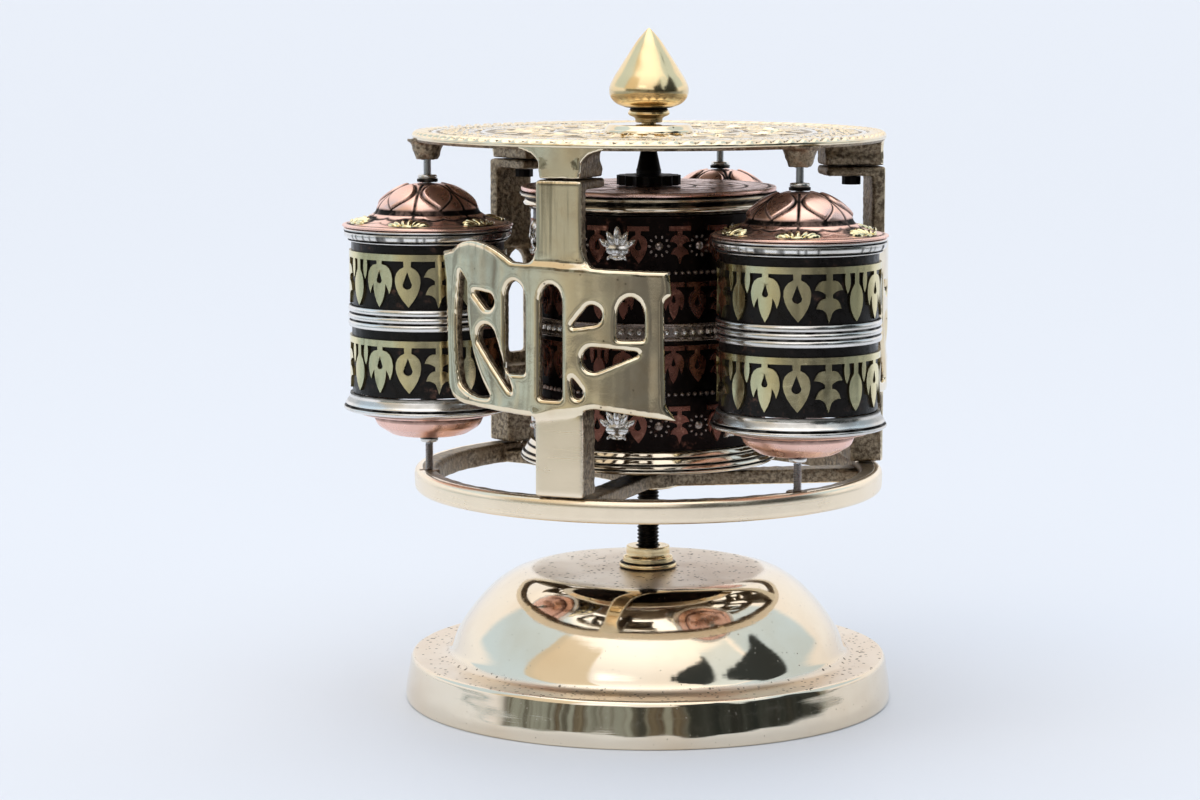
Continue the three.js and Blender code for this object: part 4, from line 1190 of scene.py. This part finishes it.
def makeMainWheel():
    drum, body = mainSet["drum"], "main_wheel"
    inner = drum - 1.5
    low, high = span("main_bottom_moulding")
    lines = (low + 1.1, low + 2.4, low + 4.1)
    turned("mainLowMoulding", [
        (inner, low), (33.8, low, 0.4), (34.6, low + 0.6, 0.4), (34.4, low + 1, 0.1),
        (34.0, low + 1.15, 0.1), (34.4, low + 1.4, 0.3), (34.0, low + 2.3, 0.2), (33.3, low + 2.45, 0.1),
        (33.5, low + 2.7, 0.3), (32.8, low + 3.9, 0.6), (32.3, low + 4.1, 0.1), (32.4, low + 4.4, 0.3),
        (31.9, high - 0.2, 0.3), (31.7, high), (inner, high),
    ], "rim_brass", body, "polished_brass", ["main_bottom_moulding"], around=256, longest=0.45,
        surface=sooty(lambda r, z: grooves(z, lines, 0.22) * (r > drum + 0.5)))

    low, high = span("main_drum")
    turned("mainDrumWall", [(drum - 1, low), (drum, low), (drum, high), (drum - 1, high)],
           "blackened_copper", body, "blackened_copper", ["main_drum"], around=256, longest=2.2, sharp=40,
           surface=uneven(0.06, 31, 1.3, 11, drum))

    low, high = span("main_middle_band")
    turned("mainBand", [
        (drum + 0.25, low), (drum + 0.9, low, 0.2), (drum + 1.1, low + 0.35, 0.2),
        (drum + 0.9, low + 0.7, 0.2), (drum + 0.5, low + 0.85, 0.1), (drum + 0.5, high - 0.85, 0.1),
        (drum + 0.9, high - 0.7, 0.2), (drum + 1.1, high - 0.35, 0.2), (drum + 0.9, high, 0.2),
        (drum + 0.25, high),
    ], "worn_copper", body, "blackened_copper", ["main_middle_band"], around=256, longest=0.3)

    low, high = span("main_top_moulding")
    topLines = (high - 0.15, high - 1.1, low + 0.3)
    turned("mainTopMoulding", [
        (inner, low), (31.8, low, 0.2), (32.2, low + 0.3, 0.2), (32.0, low + 0.5, 0.1),
        (33.2, low + 0.8, 0.5), (33.9, low + 1.6, 0.6), (33.3, low + 2.5, 0.5), (32.9, low + 2.9, 0.2),
        (33.6, low + 3.2, 0.2), (34.5, high - 0.9, 0.2), (34.2, high - 0.7, 0.1),
        (34.6, high - 0.5, 0.1), (34.5, high, 0.2), (inner, high),
    ], "rim_brass", body, "polished_brass", ["main_top_moulding"], around=256, longest=0.3,
        surface=sooty(lambda r, z: grooves(z, topLines, 0.2, lineMark(z - low - 2.9, 0.2, 0.3))
                      * (r > drum + 0.5)))

    low, high = span("main_lid")

    def rays(a, r, z):
        share = 2 * math.pi / 12
        near = (a + share / 2) % share - share / 2
        top = smoothStep(high - 0.4, high - 0.2, z)
        ring = sum(lineMark(r - line, 0.2, 0.25) for line in (12.5, 26.5, 32.8))
        scallop = lineMark(r - 19 - 4 * np.abs(np.sin(a * 6)), 0.2, 0.25)
        cut = np.clip(lineMark(near * r, 0.2, 0.25) * (r > 12.5) * (r < 26.5) + ring + scallop, 0, 1) * top
        return -0.12 * cut, {"soot": cut}

    turned("mainLid", [
        (mainSet["hole"], low), (34.1, low, 0.1), (34.3, low + 0.5, 0.3), (34.1, high, 0.2),
        (mainSet["hole"], high),
    ], "copper", body, "copper", ["main_lid"], around=300, longest=0.7, surface=rays)


makeMainWheel()
print("main wheel turned")


# relief and small ornaments, repeated round the wheels by Geometry Nodes
reliefSet = {"strip": 1.3, "halfWidth": 4.05, "barTop": 14.2, "barFoot": 12.5}


def flatStock(name, solids, bevel=0.13, strips=True):
    # one ornament, drawn flat and facing the front, cut into strips so that it can bend round a drum
    shape = bmesh.new()
    for points, faces in solids:
        corners = [shape.verts.new(Vector(point) * mm) for point in points]
        for face in faces:
            shape.faces.new([corners[k] for k in face])
    bmesh.ops.recalc_face_normals(shape, faces=shape.faces)
    if bevel:
        edges = [e for e in shape.edges if len(e.link_faces) == 2 and e.calc_face_angle() > 0.7
                 and min(v.co.y for v in e.verts) < -1e-7 and abs(e.verts[0].co.y - e.verts[1].co.y) < 1e-7]
        bmesh.ops.bevel(shape, geom=edges, offset=bevel * mm, segments=1, affect="EDGES",
                        clamp_overlap=True)
    if strips:
        left = min(v.co.x for v in shape.verts)
        right = max(v.co.x for v in shape.verts)
        count = int((right - left) / (reliefSet["strip"] * mm))
        for k in range(1, count + 1):
            everything = shape.verts[:] + shape.edges[:] + shape.faces[:]
            bmesh.ops.bisect_plane(shape, geom=everything, dist=1e-8,
                                   plane_co=(left + k * (right - left) / (count + 1), 0, 0),
                                   plane_no=(1, 0, 0))
    mesh = bpy.data.meshes.new(name)
    shape.to_mesh(mesh)
    shape.free()
    return bpy.data.objects.new(name, mesh)


def hung(*moves):
    # a motif's outline, hanging from the bar that joins it to the next one
    half, top, foot = reliefSet["halfWidth"], reliefSet["barTop"], reliefSet["barFoot"]
    return outline((-half, top), (half, top), (half, foot), *moves, (-half, foot), steps=4)


def hangingBud():
    return [hung((1.0, 12.5), (0.9, 11.0),
                    (3.6, 10.0, 3.4, 7.0),
                    (3.2, 3.8, 0.3, 0.5), (-3.0, 4.0, -3.3, 7.0), (-3.5, 10.0, -0.9, 11.0), (-1.0, 12.5)),
            dropLoop(0, 6.4, 1.25, 0, 9.8, 6)]


def lotusPendant():
    right = [(0.8, 12.5), (0.8, 11.6), (3.6, 11.4, 3.9, 7.8), (3.9, 5.8, 3.0, 3.9), (2.6, 5.6, 1.9, 6.4),
             (1.9, 3.0, 0, 0.3)]
    left = [(-1.9, 3.0, -1.9, 6.4), (-2.6, 5.6, -3.0, 3.9), (-3.9, 5.8, -3.9, 7.8),
            (-3.6, 11.4, -0.8, 11.6), (-0.8, 12.5)]
    return [hung(*right, *left), dropLoop(0, 7.4, 0.85, 0, 10.0, 6)]


def fernStem():
    right = [(0.8, 12.5), (0.8, 10.8), (2.8, 11.2, 3.7, 8.4), (2.2, 8.6, 0.9, 7.4), (0.9, 6.4),
             (2.6, 6.4, 3.3, 3.8),
             (1.8, 4.0, 0.8, 2.8)]
    left = [(-0.8, 2.8), (-1.8, 4.0, -3.3, 3.8), (-2.6, 6.4, -0.9, 6.4), (-0.9, 7.4),
            (-2.2, 8.6, -3.7, 8.4),
            (-2.8, 11.2, -0.8, 10.8), (-0.8, 12.5)]
    return [hung(*right, (0, 0.3), *left)]


def dropTrio():
    right = [(3.6, 12.5), (4.1, 9.8, 2.9, 7.4), (1.6, 9.4, 2.3, 12.5), (0.7, 12.5), (0.7, 9.8),
             (2.3, 8.0, 2.2, 5.4),
             (2.0, 2.4, 0, 0.3)]
    left = [(-2.0, 2.4, -2.2, 5.4), (-2.3, 8.0, -0.7, 9.8), (-0.7, 12.5), (-2.3, 12.5),
            (-1.6, 9.4, -2.9, 7.4),
            (-4.1, 9.8, -3.6, 12.5)]
    return [hung(*right, *left)]


def blob(x, z, length, width, height, lean=0.0, rows=3, around=8):
    # half an egg lying on the drum, with its length along a direction that leans from upright
    c, s = math.cos(math.radians(lean)), math.sin(math.radians(lean))
    points, faces = [], []
    for i in range(rows):
        rise, out = math.sin(math.pi / 2 * i / rows), math.cos(math.pi / 2 * i / rows)
        for j in range(around):
            turn = 2 * math.pi * j / around
            a, b = width / 2 * out * math.cos(turn), length / 2 * out * math.sin(turn)
            points.append((x + a * c + b * s, -height * rise, z - a * s + b * c))
    points.append((x, -height, z))
    faces.append(tuple(range(around)))
    for i in range(rows - 1):
        a, b = i * around, (i + 1) * around
        faces += [(a + j, a + (j + 1) % around, b + (j + 1) % around, b + j) for j in range(around)]
    top = (rows - 1) * around
    faces += [(top + j, top + (j + 1) % around, rows * around) for j in range(around)]
    return points, faces


def palmette():
    # a fluted crest: broad lower petals, a spiked middle and a small foot
    petals = [blob(0, 6.6, 5.2, 2.1, 1.5, 0, 3, 12), blob(0, 3.4, 3.4, 6.2, 1.2, 0, 3, 14),
              blob(0, 1.5, 1.5, 3.4, 0.9, 0, 3, 10)]
    for lean, x, z, reach, width in ((24, 1.7, 6.0, 4.2, 1.8), (52, 3.0, 4.8, 3.6, 1.8),
                                     (-30, 1.9, 1.5, 2.0, 1.2)):
        for mirror in (-1, 1):
            petals.append(blob(mirror * x, z, reach, width, 1.25, mirror * lean, 3, 10))
    return petals


def rosette():
    # a ring of small seeds round a raised middle
    seeds = [blob(2.5 * math.cos(k * math.tau / 10), 4.8 + 2.5 * math.sin(k * math.tau / 10), 1.1, 0.8, 0.6,
                  90 - k * 36, 2, 8) for k in range(10)]
    return seeds + [blob(0, 4.8, 2.4, 2.4, 0.8, 0, 3, 10)]


def wrapTree(name, stock, finish, sideFinish):
    # ornaments picked along a line, which is bent round an upright axis; faces and sides differ in finish
    tree = bpy.data.node_groups.new(name, "GeometryNodeTree")
    tree.interface.new_socket("Geometry", in_out="OUTPUT", socket_type="NodeSocketGeometry")
    for label, kind in (("Count", "Int"), ("Radius", "Float"), ("Height", "Float"), ("Size", "Float"),
                        ("Turn", "Float"), ("Start", "Int"), ("Centre", "Vector")):
        tree.interface.new_socket(label, in_out="INPUT", socket_type="NodeSocket" + kind)
    n = Nodes(tree)
    given = n.add("NodeGroupInput").outputs
    around = n.times(given["Radius"], 2 * math.pi)
    step = n.math("DIVIDE", around, given["Count"])
    offset = n.add("ShaderNodeCombineXYZ", {"X": step}).outputs[0]
    line = n.add("GeometryNodeMeshLine", {"Count": given["Count"], "Offset": offset}, mode="OFFSET")
    source = n.add("GeometryNodeCollectionInfo",
                   {"Collection": stock, "Separate Children": True, "Reset Children": True})
    order = n.plus(n.times(n.add("GeometryNodeInputIndex").outputs[0], 3.0), given["Start"])
    picked = n.math("MODULO", order, float(len(stock.objects)))
    grow = n.add("ShaderNodeCombineXYZ",
                 {"X": given["Size"], "Y": given["Size"], "Z": given["Size"]}).outputs[0]
    placed = n.add("GeometryNodeInstanceOnPoints", {
        "Points": line.outputs[0], "Instance": source.outputs[0], "Pick Instance": True,
        "Instance Index": picked, "Scale": grow}).outputs[0]
    solid = n.add("GeometryNodeRealizeInstances", {"Geometry": placed}).outputs[0]
    facing = n.add("ShaderNodeSeparateXYZ", {0: n.add("GeometryNodeInputNormal").outputs[0]}).outputs[1]
    isSide = n.add("FunctionNodeCompare", {"A": facing, "B": -0.8}, data_type="FLOAT",
                   operation="GREATER_THAN").outputs[0]
    solid = n.add("GeometryNodeSetMaterial", {"Geometry": solid, "Material": finish}).outputs[0]
    solid = n.add("GeometryNodeSetMaterial",
                  {"Geometry": solid, "Selection": isSide, "Material": sideFinish}).outputs[0]
    x, y, z = n.add("ShaderNodeSeparateXYZ", {0: n.add("GeometryNodeInputPosition").outputs[0]}).outputs
    angle = n.plus(n.math("DIVIDE", x, given["Radius"]), given["Turn"])
    reach = n.minus(given["Radius"], y)
    bent = n.add("ShaderNodeCombineXYZ", {
        "X": n.times(reach, n.math("SINE", angle)),
        "Y": n.times(n.times(reach, n.math("COSINE", angle)), -1.0),
        "Z": n.plus(z, given["Height"])}).outputs[0]
    moved = n.add("ShaderNodeVectorMath", {0: bent, 1: given["Centre"]}, operation="ADD").outputs[0]
    solid = n.add("GeometryNodeSetPosition", {"Geometry": solid, "Position": moved}).outputs[0]
    out = n.add("NodeGroupOutput")
    tree.links.new(solid, out.inputs[0])
    return tree


def stockOf(name, objects):
    collection = bpy.data.collections.new(name)
    for item in objects:
        collection.objects.link(item)
    return collection


def grown(name, tree, values):
    # runs a node tree once and gives its result as a plain mesh
    carrier = bpy.data.objects.new(name, bpy.data.meshes.new(name))
    bpy.context.scene.collection.objects.link(carrier)
    modifier = carrier.modifiers.new("grow", "NODES")
    modifier.node_group = tree
    for item in tree.interface.items_tree:
        if item.in_out == "INPUT" and item.name in values:
            modifier[item.identifier] = values[item.name]
    mesh = bpy.data.meshes.new_from_object(carrier.evaluated_get(bpy.context.evaluated_depsgraph_get()))
    bpy.data.objects.remove(carrier)
    mesh.name = name
    mesh.shade_smooth()
    mesh.set_sharp_from_angle(angle=math.radians(32))
    return mesh


def wrapped(name, tree, centre, radius, rows, count, size=1.0, turn=0.0, start=0):
    return joined(name, [grown(name, tree, {
        "Count": count, "Radius": radius * mm, "Height": height * mm, "Size": size,
        "Turn": math.radians(turn),
        "Start": start, "Centre": (centre[0] * mm, centre[1] * mm, 0)}) for height in rows])


def makeRelief():
    depth = wheelSet["reliefDepth"]
    drawings = [hangingBud(), lotusPendant(), dropTrio(), fernStem()]
    motifs = stockOf("motifStock", [flatStock("motif%d" % k, [prism(loops, -depth, 0.12)])
                                    for k, loops in enumerate(drawings)])
    heavyMotifs = stockOf("heavyMotifStock", [flatStock("heavy%d" % k, [prism(loops, -1.0, 0.12)], 0.42)
                                              for k, loops in enumerate(drawings)])
    brassRows = wrapTree("brassRelief", motifs, finishes["relief_brass"], finishes["relief_side"])
    copperRows = wrapTree("copperRelief", heavyMotifs, finishes["relief_dark"], finishes["relief_copper"])
    for side in sides:
        low, high = span(side + "_drum")
        mesh = wrapped("relief_" + side, brassRows, wheelCentre[side], wheelSet["drum"],
                       (low + 0.9, high - 16.3), wheelSet["motifs"], 1.0, wheelSet["phase"][side],
                       wheelSet["start"])
        addPiece("relief_" + side, mesh, None, "wheel_" + side)
    low, high = span("main_drum")
    drum = mainSet["drum"]
    mesh = wrapped("mainRelief", copperRows, (0, 0), drum, (high - 27.0, low + 17.8), mainSet["motifs"],
                   0.7, 0, mainSet["start"])
    addPiece("mainRelief", mesh, None, "main_wheel")

    crest = stockOf("crestStock", [flatStock("crest", palmette(), 0, False)])
    crests = wrapTree("crests", crest, finishes["white_metal"], finishes["white_metal"])
    ringed = stockOf("ringedStock", [flatStock("ringed", rosette(), 0, False)])
    rosettes = wrapTree("rosettes", ringed, finishes["worn_copper"], finishes["worn_copper"])
    rows, turn = (high - 12.4, low + 1.9), mainSet["crestTurn"]
    count = mainSet["crests"]
    mesh = wrapped("crests", crests, (0, 0), drum, rows, count, 1.12, turn)
    addPiece("crests", mesh, None, "main_wheel")
    mesh = joined("rosettes",
                  [wrapped("rosettes", rosettes, (0, 0), drum, rows, count, 1, turn + 120 / count + gap)
                   for gap in (0, 120 / count)])
    addPiece("rosettes", mesh, None, "main_wheel")
    mesh = joined("mainReliefEdges",
                  [wrapped("edges", copperRows, (0, 0), drum, rows, count, 0.7, turn + gap, start)
                   for gap, start in ((60 / count, 0), (180 / count, 3), (300 / count, 5))])
    addPiece("mainReliefEdges", mesh, None, "main_wheel")

    bead = stockOf("beadStock", [flatStock("bead", [blob(0, 0, 1.35, 1.35, 0.85, 0, 3, 8)], 0, False)])
    beads = wrapTree("beads", bead, finishes["worn_copper"], finishes["worn_copper"])
    mesh = wrapped("mainBeads", beads, (0, 0), drum, (high - 14.6, low + 15.0), 110)
    addPiece("mainBeads", mesh, None, "main_wheel")
    silver = wrapTree("bandBeads", bead, finishes["white_metal"], finishes["white_metal"])
    bandLow, bandHigh = span("main_middle_band")
    mesh = wrapped("bandBeads", silver, (0, 0), drum + 0.5, ((bandLow + bandHigh) / 2,), 84, 1.35)
    addPiece("bandBeads", mesh, None, "main_wheel")
    for stock in (motifs, heavyMotifs, crest, ringed, bead):
        for item in list(stock.objects):
            bpy.data.objects.remove(item)
        bpy.data.collections.remove(stock)
    print("relief wrapped round the drums")


def makeBrimOrnaments():
    # small cast fans of petals on the brim of each small wheel's lid, one over each engraved ray
    for side in sides:
        low = span(side + "_lid")[0]
        centre, phase = wheelCentre[side], wheelSet["phase"][side]
        meshes = []
        for ray in range(wheelSet["rayCount"]):
            turn = math.radians(phase + 360 / wheelSet["rayCount"] * ray)
            solids = [blob(0, 0.3, 4.6, 1.5, 1.0, 0, 3, 10), blob(0, -2.2, 1.1, 3.4, 0.7, 0, 3, 10)]
            for mirror in (-1, 1):
                for lean, x, z, reach in ((22, 1.7, 0.1, 4.3), (44, 3.1, -0.5, 4.0), (64, 4.1, -1.4, 3.4)):
                    solids.append(blob(mirror * x, z, reach, 1.25, 0.85, mirror * lean, 3, 8))
            points, faces = [], []
            for spots, cells in solids:
                faces += [tuple(k + len(points) for k in cell) for cell in cells]
                points += spots
            lay = Matrix.Rotation(turn, 3, "Z") @ Matrix.Rotation(math.radians(-73), 3, "X")
            shift = Vector((math.sin(turn), -math.cos(turn), 0)) * 18.2
            shift += Vector((centre[0], centre[1], low + 1.5))
            points = [tuple(lay @ Vector(p) + shift) for p in points]
            meshes.append(meshFrom("fan", points, faces, sharp=40))
        addPiece("brimFlowers_" + side, joined("brimFlowers_" + side, meshes), "relief_brass",
                 "wheel_" + side)
    print("lid ornaments placed")


makeRelief()
makeBrimOrnaments()


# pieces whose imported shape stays
keptFinish = {
    "base_pad": "felt", "base_nut": "steel", "support_nut": "black_steel", "main_floor": "blackened_copper",
    "crown_washer": "black_steel", "main_hub_tube": "steel", "main_scroll": "paper",
}
for side in sides:
    keptFinish[side + "_hub_tube"] = "steel"
    keptFinish[side + "_scroll"] = "paper"
for side in uprightSides:
    keptFinish["foot_screw_" + side] = "rim_brass"
    keptFinish["top_screw_" + side] = "black_steel"
for node, finish in keptFinish.items():
    kept = bpy.data.objects[node]
    kept.data.materials.clear()
    kept.data.materials.append(finishes[finish])
print("kept nodes finished:", len(keptFinish))
